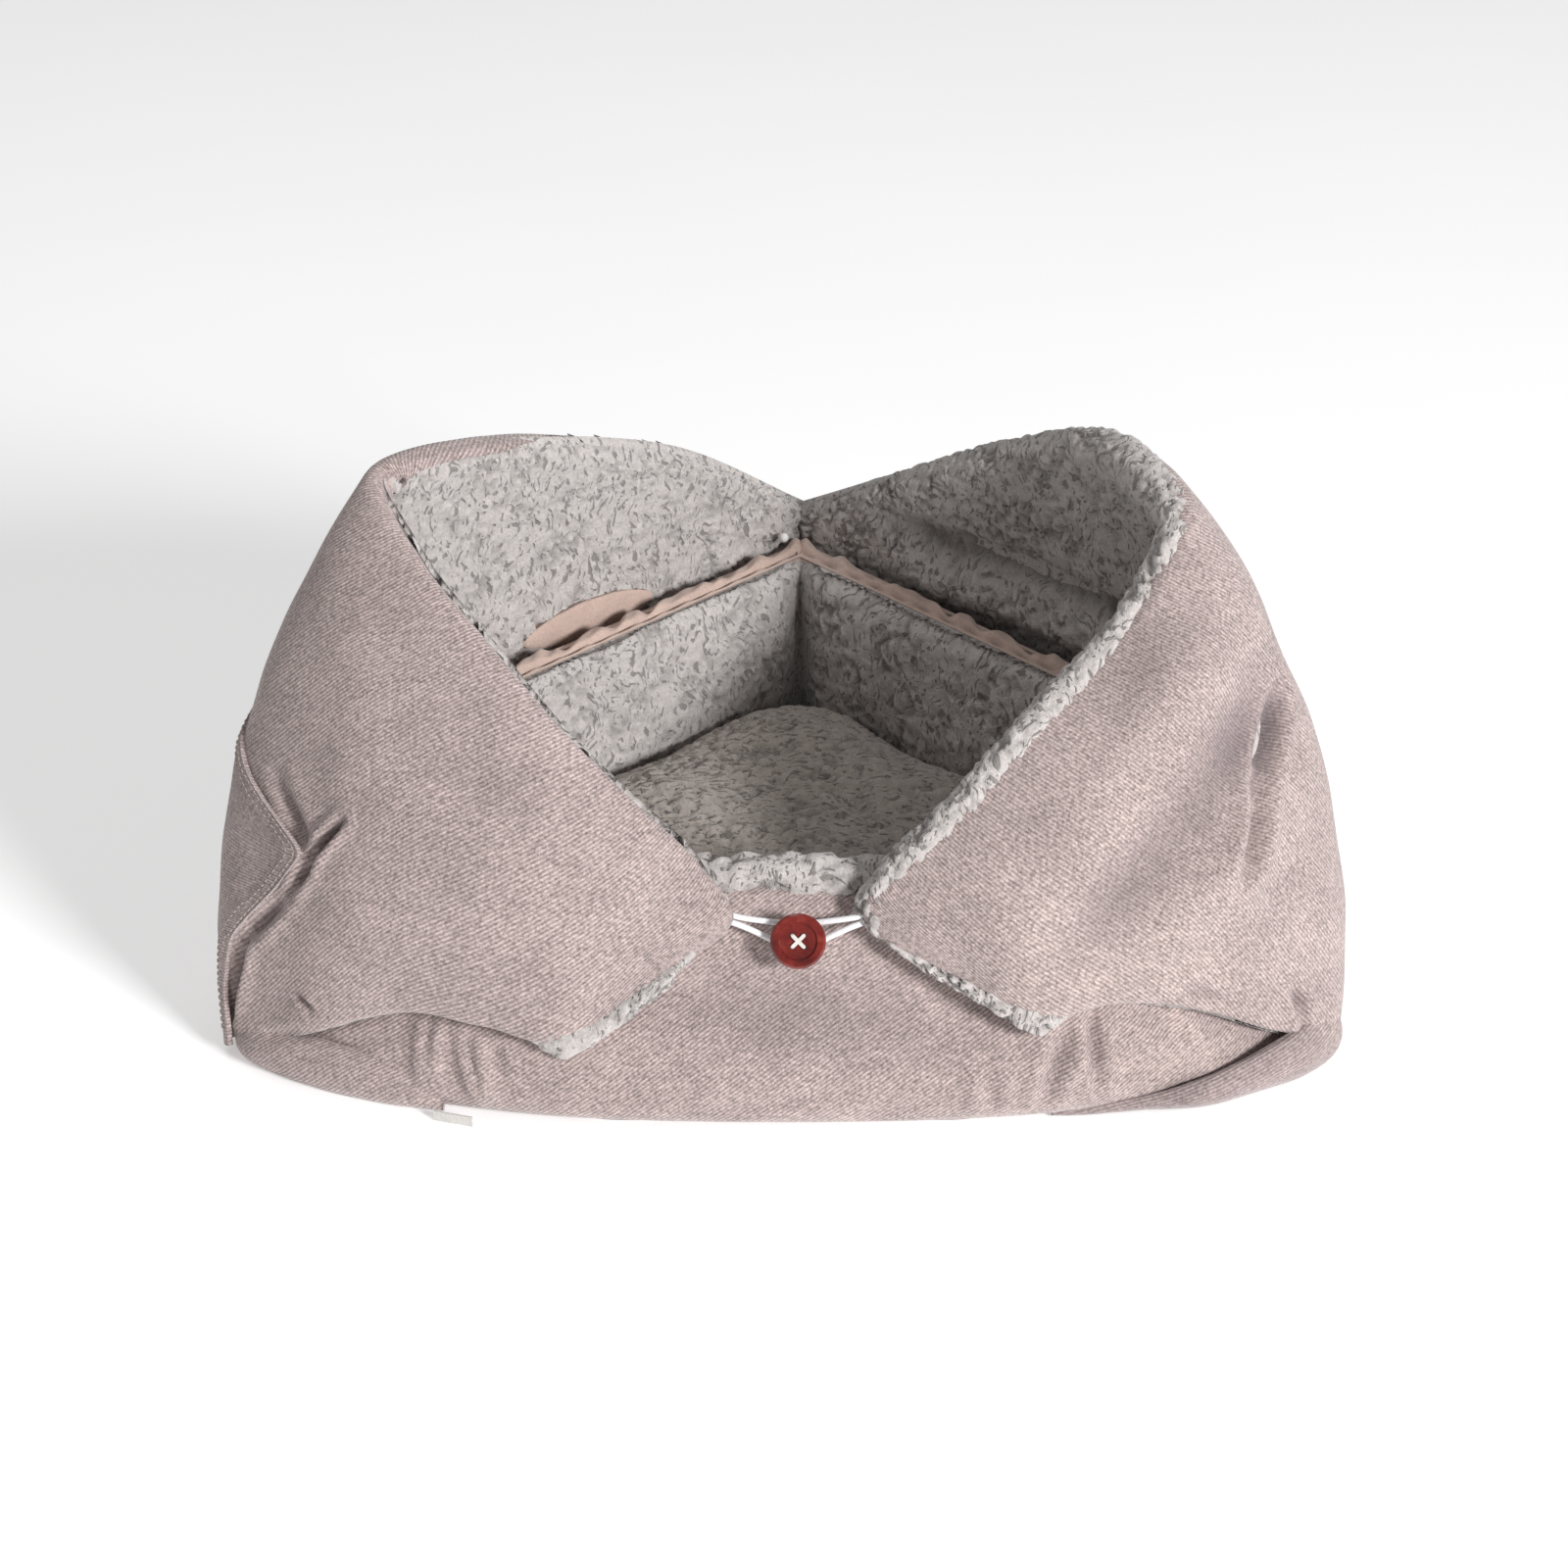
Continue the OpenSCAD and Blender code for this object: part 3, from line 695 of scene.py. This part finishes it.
def collar_cloth(side, net, sign):
    """The ribbed cloth over the outside of one half of the collar and its lapel."""
    u, v = collar_places(net, CLOTH_GRID)
    rim, sweep = 8.0, math.pi / 2
    if side == "left":  # the cloth laps over the crest and hides the roll there
        over = np.interp(u, [2.0, 2.7, 4.0, 4.8], [0, 1, 1, 0])[:, None]
        rim, sweep = 5.0 + 4.0 * over, math.pi / 2 + 0.75 * over
    hem = 5.0 + 6.0 * smoothstep(4.0, 3.2, u)[:, None]
    grid = collar_grid(net, u, v, hem, rim, sweep)
    normal = collar_normal(u, grid, sign)
    creases = crease_relief(grid)
    bulge = creases + panel_lumps(grid)
    if side == "right":  # fuller over the shoulder, near the fold
        height = np.linspace(0, 1, len(v))[None, :]
        bulge -= 6 * np.exp(-(((u[:, None] - 4.2) / 1.5) ** 2) - ((height - 0.84) / 0.12) ** 2)
    skin = turned(grid + normal * bulge[..., None], normal, hem, rim, sweep)
    # painted shade in the creases, fullest where a crease is CREASE_DARK deep
    dark, rib = np.clip(creases / CREASE_DARK, 0, 1), rib_lines(grid, RIBS[side], 0.7)
    cloth = slab(side + "_cloth", skin, skin + normal * CLOTH, twill, dark, rib, flip=sign < 0)
    names = ("_collar_cover", "_lapel_cover", "_collar_wadding", "_lapel_wadding")
    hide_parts(*(side + name for name in names))
    follow(cloth)


def collar_fleece(side, net, sign):
    """The fleece over the inside of one half of the collar and its lapel."""
    u, v = collar_places(net, FLEECE_GRID)
    grid = collar_grid(net, u, v, 7.0, 8.0)
    if side == "left":  # lower where the cloth laps over
        covered = np.interp(u, [1.8, 2.5, 4.0, 4.6], [0, 1, 1, 0])[:, None, None]
        lowered = 3 * covered * np.linspace(0, 1, len(v))[None, :, None]
        grid = grid - unit(np.gradient(grid, axis=1)) * lowered
    normal = collar_normal(u, grid, sign)
    face = grid + normal * FACE
    collar = smoothstep(FOLD, FOLD - 1, u)[:, None]
    swell = soft_relief(grid, 60, 3) * 4 * collar
    if side == "right":  # a level roll above the fence, with a groove over it
        ridge, groove = face[..., 2] - 140, face[..., 2] - 162
        span = smoothstep(0.6, 1.4, u)[:, None] * smoothstep(3.8, 3, u)[:, None]
        swell += span * (9 * np.exp(-((ridge / 12) ** 2)) - 6 * np.exp(-((groove / 6) ** 2)))
    lumps, painted_shade = fleece_relief(face)
    # painted shade along the groove over the right roll
    if side == "right":
        painted_shade = np.clip(painted_shade + 0.9 * span * np.exp(-((groove / 7) ** 2)), 0, 1)
    face = turned(face + normal * (swell + lumps)[..., None], -normal, 7.0, 8.0)
    back = turned(grid + normal * BACKING, -normal, 3.0, 3.0)
    lining = slab(side + "_fleece", face, back, fleece, painted_shade, flip=sign > 0)
    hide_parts(side + "_collar_lining", side + "_lapel_lining")
    follow(lining)


def collar_roll(side, net, sign):
    """The rolled fleece edge along the rim, round the lapel's tip and back along its hem."""
    u, v = np.linspace(0, len(net) - 1, 360), np.linspace(0, 1, 40)
    grid = loft(net, u, v)
    normal = collar_normal(u, grid, sign)
    up = unit(np.gradient(grid, axis=1))
    along = unit(np.gradient(grid, axis=0))
    hem = u > FOLD + 2.2
    rim_reach = np.interp(u, *RIM_REACH[side])
    hem_reach = np.interp(u[hem][::-1], *HEM_REACH[side])
    edge = np.concatenate([grid[:, -1], grid[-1, -2:0:-1], grid[hem, 0][::-1]])
    out = np.concatenate([up[:, -1], along[-1, -2:0:-1], -up[hem, 0][::-1]])
    across = np.concatenate([normal[:, -1], normal[-1, -2:0:-1], normal[hem, 0][::-1]])
    reach = np.concatenate([rim_reach, np.linspace(rim_reach[-1], hem_reach[0], 38), hem_reach])
    centre, out, across, reach = sample_edge(edge, out, across, reach, ROLL_STEP)
    centre = centre + across * np.interp(reach, *ROLL_DEPTH)[:, None]
    radius = np.interp(reach, *ROLL_RADIUS)
    roll = fleece_tube(side + "_roll", centre, out * sign, across, radius, fleece)
    follow(roll)


def stitch_row(name, line, normal):
    """A row of small stitches lying along a line on the cloth."""
    step = travelled(line)
    points, faces = [], []
    for start in np.arange(3, step[-1] - 4, STITCH_PITCH):
        ends = [np.array([np.interp(s, step, line[:, k]) for k in range(3)]) for s in (start, start + STITCH)]
        away = np.array([np.interp(start, step, normal[:, k]) for k in range(3)])
        along = unit(ends[1] - ends[0])
        wide = np.cross(along, away) * 0.35
        high = away * 0.45
        first = len(points)
        for end, grow in ((ends[0], 0.4), ((ends[0] + ends[1]) / 2, 1.0), (ends[1], 0.4)):
            points += [end - wide * grow, end + high * grow, end + wide * grow, end - high * 0.6]
        for ring in (0, 4):
            for k in range(4):
                a, b = first + ring + k, first + ring + (k + 1) % 4
                faces.append([a, b, b + 4, a + 4])
        faces.append([first + 3, first + 2, first + 1, first])
        faces.append([first + 8, first + 9, first + 10, first + 11])
    piece = make_mesh(name, points, faces, stitching)
    follow(piece)


def side_flap():
    """The side panel's double-stitched hem, which lies over the root of the left lapel."""
    net = COLLARS["left"]
    heights, columns = FLAP_HEM
    rows = int(110 / DETAIL)
    v = np.linspace(0, heights[-1], rows)
    window = np.hanning(9)[1:-1]
    window /= window.sum()
    hem_u = np.pad(np.interp(v, heights, columns), 3, mode="edge")
    hem_u = np.convolve(hem_u, window, "valid")
    share = np.linspace(0, 1, 60)
    u = FLAP_BACK + (hem_u[:, None] - FLAP_BACK) * share
    grid = np.stack([loft(net, row, [height])[:, 0] for row, height in zip(u, v)])
    normal = unit(np.cross(np.gradient(grid, axis=0), np.gradient(grid, axis=1)))
    to_hem = lengths(grid, 1)[:, -1:] - lengths(grid, 1)
    proud = 2.6 * smoothstep(0, 0.3, share)[None, :] + 0.9 * smoothstep(11, 9, to_hem)
    proud = proud + 1.4 * smoothstep(40, 0, to_hem)
    laid = smoothstep(heights[-1], 0.42, v)[:, None]
    proud = (proud + 1.6) * laid - 2.6
    skin = grid + normal * (panel_lumps(grid) - proud)[..., None]
    flap = slab("left_flap", skin, skin + normal * 2.4, twill, rib=rib_lines(grid, RIBS["flap"]))
    follow(flap)
    keep = np.arange(int(rows * 0.02), int(rows * 0.8))
    for row, inset in enumerate(FLAP_SEAMS):
        pick = np.abs(to_hem - inset).argmin(axis=1)
        line = skin[keep, pick[keep]] - normal[keep, pick[keep]] * 0.2
        stitch_row(f"left_flap_stitches_{row + 1}", line, -normal[keep, pick[keep]])


def bare_patch():
    """A lens-shaped patch of plain lining cloth that shows in the fleece above the left fence."""
    a, b = np.linspace(-1, 1, int(60 / DETAIL)), np.linspace(-1, 1, int(24 / DETAIL))
    half = (1 - a**2) ** 0.7
    net = COLLARS["left"]
    middle, reach = PATCH_COLUMNS
    level, rise = PATCH_HEIGHTS
    u = middle + reach * a
    tall = loft(net, u, [1.0])[:, 0, 2]
    v = (level + rise * half[:, None] * b[None, :]) / tall[:, None]
    grid = np.stack([loft(net, [row], heights)[0] for row, heights in zip(u, v)])
    normal = inward(grid, 1)
    swell = soft_relief(grid, 60, 3) * 4
    puff = 1.8 * np.sqrt(np.clip(1 - b**2, 0, 1))[None, :] * np.sqrt(half)[:, None] + 1.6
    face = grid + normal * (FACE + swell + puff + 0.7 * soft_relief(grid, 9, 6))[..., None]
    patch = slab("left_bare_patch", face, face - normal * 4, tape, flip=True)
    follow(patch)


def collar(side):
    """One half of the collar with its lapel."""
    net, sign = COLLARS[side], INTO_BED[side]
    collar_cloth(side, net, sign)
    collar_fleece(side, net, sign)
    collar_roll(side, net, sign)


def front_cloth(u, grid):
    """The low wall's ribbed cloth, rounded out and fuller at its left foot."""
    normal, up, tangent = inward(grid, 1), lengths(grid, 1), unit(np.gradient(grid, axis=1))
    lump = soft_relief(grid, 60, 5) * 2.2 + soft_relief(grid, 22, 6) * 0.9
    belly = 5 * np.sin(np.pi * np.clip(up / 60, 0, 1))
    belly = belly + 7 * smoothstep(1.7, 0.5, u)[:, None] * smoothstep(50, 12, up)
    creases = crease_relief(grid)
    skin = grid + normal * ((creases + lump - belly) * smoothstep(0, 14, up))[..., None]
    skin = rounded_edge(skin, normal, up[:, -1:] - up, tangent, 6.0)
    skin = rounded_edge(skin, normal, up, -tangent, 6.0)
    # painted shade in the creases, fullest where a crease is CREASE_DARK deep
    dark, rib = np.clip(creases / CREASE_DARK, 0, 1), rib_lines(grid, RIBS["front"])
    cloth = slab("front_cloth", skin, skin + normal * CLOTH, twill, dark, rib)
    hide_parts("front_wall_cover", "front_wall_wadding")
    fixed(cloth)


def front_fleece(grid):
    """The fleece on the low wall's inside, a wall's thickness further in on the level."""
    normal, up, tangent = inward(grid, 1), lengths(grid, 1), unit(np.gradient(grid, axis=1))
    level = unit(normal * np.array([1, 1, 0.0]))
    face = grid + level * WALL
    lumps, painted_shade = fleece_relief(face)
    face = rounded_edge(face + normal * lumps[..., None], -normal, up[:, -1:] - up, tangent, 7.0)
    lining = slab("front_fleece", face, grid + level * BACKING, fleece, painted_shade, flip=True)
    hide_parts("front_wall_lining")
    fixed(lining)


def front_roll(net):
    """The thick clumpy fleece edge along the low wall's top."""
    u = np.linspace(0.3, len(net) - 1.3, int(400 / FINE_GRID))
    grid = loft(net, u, np.linspace(0, 1, 40))
    normal, up = inward(grid, 1)[:, -1], unit(np.gradient(grid, axis=1))[:, -1]
    radius = np.full(len(u), 10.0)
    roll = fleece_tube("front_roll", grid[:, -1] + normal * PILE, up, normal, radius, fleece, 13.0, 2.8)
    fixed(roll)


def front_wall():
    """The low wall that the lapels hook onto."""
    net = np.array(FRONT_NET, float)
    u, v = even(net, WIDE_GRID)
    grid = loft(net, u, v)
    front_cloth(u, grid)
    front_fleece(grid)
    front_roll(net)


def corner(side, net, shade):
    """Cloth that goes round a front corner of the bed below the lapel, with painted shade, as strong as
    shade, towards its tucked end.
    """
    net, sign = np.array(net, float), INTO_BED[side]
    u, v = even(net, WIDE_GRID)
    grid = loft(net, u, v)
    normal = inward(grid, sign)
    skin = grid + normal * (soft_relief(grid, 30, 4) * 1.5 + crease_relief(grid) * 0.4)[..., None]
    up = lengths(grid, 1)
    skin = rounded_edge(skin, normal, up[:, -1:] - up, unit(np.gradient(grid, axis=1)), 3.0)
    rib = rib_lines(grid, RIBS["corner"])
    # painted shade growing towards the tucked end
    dark = shade * smoothstep(1.1, 2.4, u)[:, None] + np.zeros_like(rib)
    cloth = slab(side + "_corner_cloth", skin, skin + normal * CLOTH, twill, dark, rib, flip=sign < 0)
    fixed(cloth)


def fence_ways(side):
    """The directions of a fence in plan: along it from the back corner, and out of the bed."""
    run = unit(np.array(FENCE_ENDS[side]) - FENCE_CORNER)
    return run, INTO_BED[side] * np.array([run[1], -run[0]])


def fence_grid(side, depth, s, z):
    """Points of a fence at given depths, distances along it and heights, and its way out of the bed."""
    run, out = fence_ways(side)
    depth, s, z = np.broadcast_arrays(depth, s, z)
    inset = np.linalg.solve([fence_ways(each)[1] for each in ("left", "right")], np.ones(2))
    place = FENCE_CORNER - inset * depth[..., None] + run * s[..., None]
    return np.concatenate([place, z[..., None]], -1), np.append(out, 0)


def fence_fleece(side):
    """The fleece face of a low inner back wall, which swells towards the bed and tucks in under the tape."""
    s = np.arange(-4, FENCE_LENGTH, FLEECE_GRID)[:, None]
    z = np.arange(FENCE_FOOT, FENCE_TOP, FLEECE_GRID)[None, :]
    grid, out = fence_grid(side, FENCE_FACE, s, z)
    lean = 3 + 7 * np.sin(np.pi * np.clip((z - 45) / (FENCE_TOP - 45), 0, 1)) ** 0.8
    swell = soft_relief(grid, 45, 9) * 3.5
    lumps, painted_shade = fleece_relief(grid)
    tuck = 5 * smoothstep(9, 0, FENCE_TOP - z) ** 2
    face = grid - out * ((lean + swell + lumps) * smoothstep(-4, 26, s) - tuck)[..., None]
    skin = slab(side + "_fence_fleece", face, grid + out * 5, fleece, painted_shade, flip=side == "left")
    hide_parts(side + "_fence_lining", side + "_fence_wadding")
    fixed(skin)


def fence_tape(side):
    """The gathered tape along a fence's top, with a stitched groove near its front edge."""
    s = np.arange(-2, FENCE_LENGTH, FINE_GRID)[:, None]
    t = np.linspace(0, 1, 30)[None, :]
    gather = np.sin(s / 4.4 + 2 * np.sin(s / 17)) * 1.1 + np.sin(s / 2.1 + np.sin(s / 9)) * 0.6
    wave = np.sin(s / 5.5 + 1.5 * np.sin(s / 21))
    width = 13.5 + 1.6 * wave
    depth = FENCE_FACE - 2 - width * t
    arch = np.sin(np.pi * np.clip(t * 0.9 + 0.1, 0, 1)) ** 0.5
    height = FENCE_TOP - 4.5 + 5.5 * arch + gather * smoothstep(0.1, 0.5, t)
    height = height + 1.2 * wave * smoothstep(0.5, 0.9, t) - 8 * smoothstep(0.85, 1.0, t)
    height = height - 3.0 * np.exp(-(((t - 0.24) / 0.09) ** 2)) * (1 + 0.5 * np.sin(s / 2.6))
    grid = fence_grid(side, depth, s, height)[0]
    strip = slab(side + "_fence_tape", grid, grid - np.array([0, 0, 2.0]), tape, flip=side != "left")
    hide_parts(side + "_fence_binding")
    fixed(strip)


def fence_back(side):
    """The plain cloth on the side of a fence that faces the collar."""
    s = np.arange(0, FENCE_LENGTH, 5.0)[:, None]
    z = np.linspace(FENCE_FOOT, FENCE_TOP - 3, 14)[None, :]
    rear, out = fence_grid(side, FENCE_REAR, s, z)
    backing = slab(side + "_fence_back", rear, rear - out * 3, tape, flip=side != "left")
    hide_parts(side + "_fence_cover")
    fixed(backing)


def rounded_ring(corners):
    """Plan outline with rounded corners."""
    points = []
    count = len(corners)
    for k, (corner, radius) in enumerate(corners):
        corner = np.array(corner, float)
        before = unit(np.array(corners[k - 1][0], float) - corner)
        after = unit(np.array(corners[(k + 1) % count][0], float) - corner)
        middle = unit(before + after)
        half = math.acos(float(before @ after)) / 2
        centre = corner + middle * radius / math.sin(half)
        heading = math.atan2(-middle[1], -middle[0])
        for step in np.linspace(-0.5, 0.5, 12):
            angle = heading + step * (math.pi - 2 * half)
            points.append(centre + radius * np.array([math.cos(angle), math.sin(angle)]))
    return np.array(points)


def even_ring(ring, count):
    """The same closed outline with evenly spaced points."""
    closed = np.concatenate([ring, ring[:1]])
    step = travelled(closed)
    places = np.linspace(0, step[-1], count, endpoint=False)
    return np.stack([np.interp(places, step, closed[:, k]) for k in range(2)], -1)


def cushion_half(rise, fullness):
    """A crowned face of the cushion on a square grid pulled to its plan, and how far out each point is."""
    outline = even_ring(rounded_ring(CUSHION), 720)
    middle = outline.mean(axis=0)
    angles = np.arctan2(*(outline - middle).T[::-1])
    order = np.argsort(angles)
    radii = np.linalg.norm(outline - middle, axis=1)[order]
    count = int(260 / WIDE_GRID)
    x, y = np.meshgrid(np.linspace(-1, 1, count), np.linspace(-1, 1, count), indexing="ij")
    disc = np.stack([x * np.sqrt(1 - y * y / 2), y * np.sqrt(1 - x * x / 2)], -1)
    share = np.clip(np.linalg.norm(disc, axis=-1), 0, 1)
    angle = np.arctan2(disc[..., 1], disc[..., 0])
    radius = np.interp(angle, angles[order], radii, period=2 * math.pi)
    place = middle + disc * (radius * CUSHION_FIT)[..., None]
    height = rise * (1 - share**fullness) ** 0.5
    return np.concatenate([place, height[..., None]], -1), share


def cushion():
    """The loose crowned cushion, closed all round."""
    low, high = (np.array(c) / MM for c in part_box("cushion_top"))
    tall = high[2] - low[2]
    seam = low[2] + tall * 0.4  # height of its widest part
    upper, share = cushion_half(tall * 0.63, 4.6)
    lower = cushion_half(-tall * 0.39, 8)[0]
    upper[..., 2] += seam
    lower[..., 2] += seam
    normal = -unit(np.cross(np.gradient(upper, axis=1), np.gradient(upper, axis=0)))
    lumps, painted_shade = fleece_relief(upper, 8, 1.1)
    swell = soft_relief(upper, 55, 8) * 3.5
    inside = smoothstep(1.0, 0.9, share)
    upper = upper + normal * ((lumps + swell) * inside)[..., None]
    piece = slab("cushion_pad", upper, lower, cushion_fleece_in_shade, painted_shade * inside, flip=True)
    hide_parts("cushion_top", "cushion_fill", "cushion_base")
    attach(piece, "cushion")


def pad(name, corners, levels, material):
    """A flat pad from rings, each at a height and drawn in by about an inset."""
    outline = even_ring(rounded_ring(corners), 260)
    middle = outline.mean(axis=0)
    rings = []
    for height, inset in levels:
        ring = middle + (outline - middle) * (1 - inset / PAD_REACH)
        rings.append(np.column_stack([ring, np.full(len(ring), height)]))
    rings = np.array(rings)
    return make_mesh(name, rings.reshape(-1, 3), grid_faces(*rings.shape[:2], wrap=True), material)


def back_seam():
    """The soft upright seam where the collar's halves meet at the back corner."""
    z = np.arange(5, 131, WIDE_GRID)
    path = np.column_stack([np.full(len(z), 9.0), 170.5 + 0.8 * np.sin(z / 9), z])
    out, across = (np.tile(np.array(way, float), (len(z), 1)) for way in ((0, 1, 0), (-1, 0, 0)))
    radius = 6.0 * np.clip(np.minimum(z - 3, 133 - z) / 6, 0.1, 1) ** 0.5
    seam = fleece_tube("back_seam", path, out, across, radius, twill, 12, 0.5)
    fixed(seam)


def base():
    """The bottom cloth and the padded floor with its fleece top."""
    levels = [(2, 149), (2, 12), (1.2, 7), (0.3, 10), (0.3, 80), (0.3, 149)]
    bottom = pad("bottom_cloth", BOTTOM, levels, bottom_twill_in_shade)
    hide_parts("base_panel")
    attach(bottom, "base")
    levels = [(3, 149), (3, 4), (5, 0), (18, 0), (22, 3), (22.4, 20), (22.4, 149)]
    padding = pad("floor_pad", FLOOR, levels, fleece)
    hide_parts("base_wadding", "floor_lining")
    fixed(padding)


def cord_loop(side):
    """White elastic from inside a lapel's tip round the button's shank and back."""
    tip = np.mean([np.array(c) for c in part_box(side + "_loop_tack")], axis=0) / MM
    low, high = (np.array(c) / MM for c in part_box(side + "_loop"))
    ahead = np.array([1.0 if side == "left" else -1.0, 0, 0])
    turn = high[0] if side == "left" else low[0]
    shank = np.array([turn, (low[1] + high[1]) / 2, low[2] + 6.5]) - ahead * 5.5
    start = tip - ahead
    near = start + (shank - start) * 0.35
    past = shank + ahead * 6.0
    up = np.array([0, 0.48, 0.88])  # up the slope of the front wall
    strand = [(start, 1.4), (near, 1.9), (shank, 5.6), (past, 3.4)]  # each with its distance from the middle
    path = [place - up * apart for place, apart in strand]
    path += [place + up * apart for place, apart in reversed(strand)]
    curve = bpy.data.curves.new(side + "_elastic", "CURVE")
    curve.dimensions = "3D"
    curve.bevel_depth = ELASTIC / 2 * MM
    curve.bevel_resolution = 4
    line = curve.splines.new("POLY")
    smooth = spline(path, np.linspace(0, len(path) - 1, 60)) * MM
    line.points.add(len(smooth) - 1)
    for point, place in zip(line.points, smooth):
        point.co = (*place, 1)
    piece = bpy.data.objects.new(side + "_elastic", curve)
    bpy.context.scene.collection.objects.link(piece)
    curve.materials.append(elastic)
    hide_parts(side + "_loop", side + "_loop_tack")
    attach(piece, side + "_lapel")


def trims():
    """The button, its thread, the white tack and the blank label keep their solids' shapes."""
    looks = {"button": plastic, "button_thread": thread, "corner_tack": elastic, "care_label": label_cloth}
    for name, material in looks.items():
        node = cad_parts[name]
        node.data.materials.clear()
        node.data.materials.append(material)
    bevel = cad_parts["button"].modifiers.new("rounding", "BEVEL")
    bevel.width = 0.5 * MM
    bevel.segments = 3


for each_side in ("left", "right"):
    collar(each_side)
    fence_fleece(each_side)
    fence_tape(each_side)
    fence_back(each_side)
    cord_loop(each_side)
side_flap()
bare_patch()
front_wall()
corner("right", RIGHT_CORNER_NET, 0.5)
corner("left", LEFT_CORNER_NET, 0.0)
cushion()
back_seam()
base()
trims()


# ---- floor, light and camera ----


def area_light(name, place, size, power):
    """A square light that faces the bed."""
    light = bpy.data.lights.new(name, "AREA")
    light.size = size
    light.energy = power
    lamp = bpy.data.objects.new(name, light)
    bpy.context.scene.collection.objects.link(lamp)
    lamp.location = place
    lamp.rotation_euler = (Vector((0, 0, 0.1)) - Vector(place)).to_track_quat("-Z", "Y").to_euler()


def studio():
    """A pale floor, a soft key light from the front right, and the camera."""
    ground = bpy.data.meshes.new("floor")
    ground.from_pydata([(-6, -6, 0), (6, -6, 0), (6, 6, 0), (-6, 6, 0)], [], [(0, 1, 2, 3)])
    floor = bpy.data.objects.new("floor", ground)
    bpy.context.scene.collection.objects.link(floor)
    n = Nodes("studio_floor")
    grain = n.noise(n.own_place(), 3, 2)
    n.set(Base_Color=n.ramp(grain, [(0.3, grey(0.93)), (0.7, grey(0.95))]), Roughness=0.9)
    n.set(Emission_Color=(1, 1, 1, 1), Emission_Strength=0.34)
    ground.materials.append(n.material)

    world = bpy.data.worlds.new("studio")
    world.use_nodes = True
    world.node_tree.nodes["Background"].inputs["Color"].default_value = (1, 1, 1, 1)
    world.node_tree.nodes["Background"].inputs["Strength"].default_value = 0.25
    bpy.context.scene.world = world
    area_light("key", place=(2.5, -2.95, 1.65), size=0.85, power=178)
    area_light("top", place=(-0.3, 0.2, 2.4), size=1.6, power=10)

    target, distance, elevation = Vector((0, -0.026, 0.09)), 1.5, math.radians(30)
    camera_data = bpy.data.cameras.new("camera")
    camera_data.lens = 74.25
    camera_data.sensor_width = 36
    camera = bpy.data.objects.new("camera", camera_data)
    bpy.context.scene.collection.objects.link(camera)
    away = Vector((0, -math.cos(elevation), math.sin(elevation)))
    camera.location = target + away * distance
    camera.rotation_euler = (-away).to_track_quat("-Z", "Y").to_euler()
    bpy.context.scene.camera = camera
    bpy.context.scene.view_settings.view_transform = "Standard"


studio()
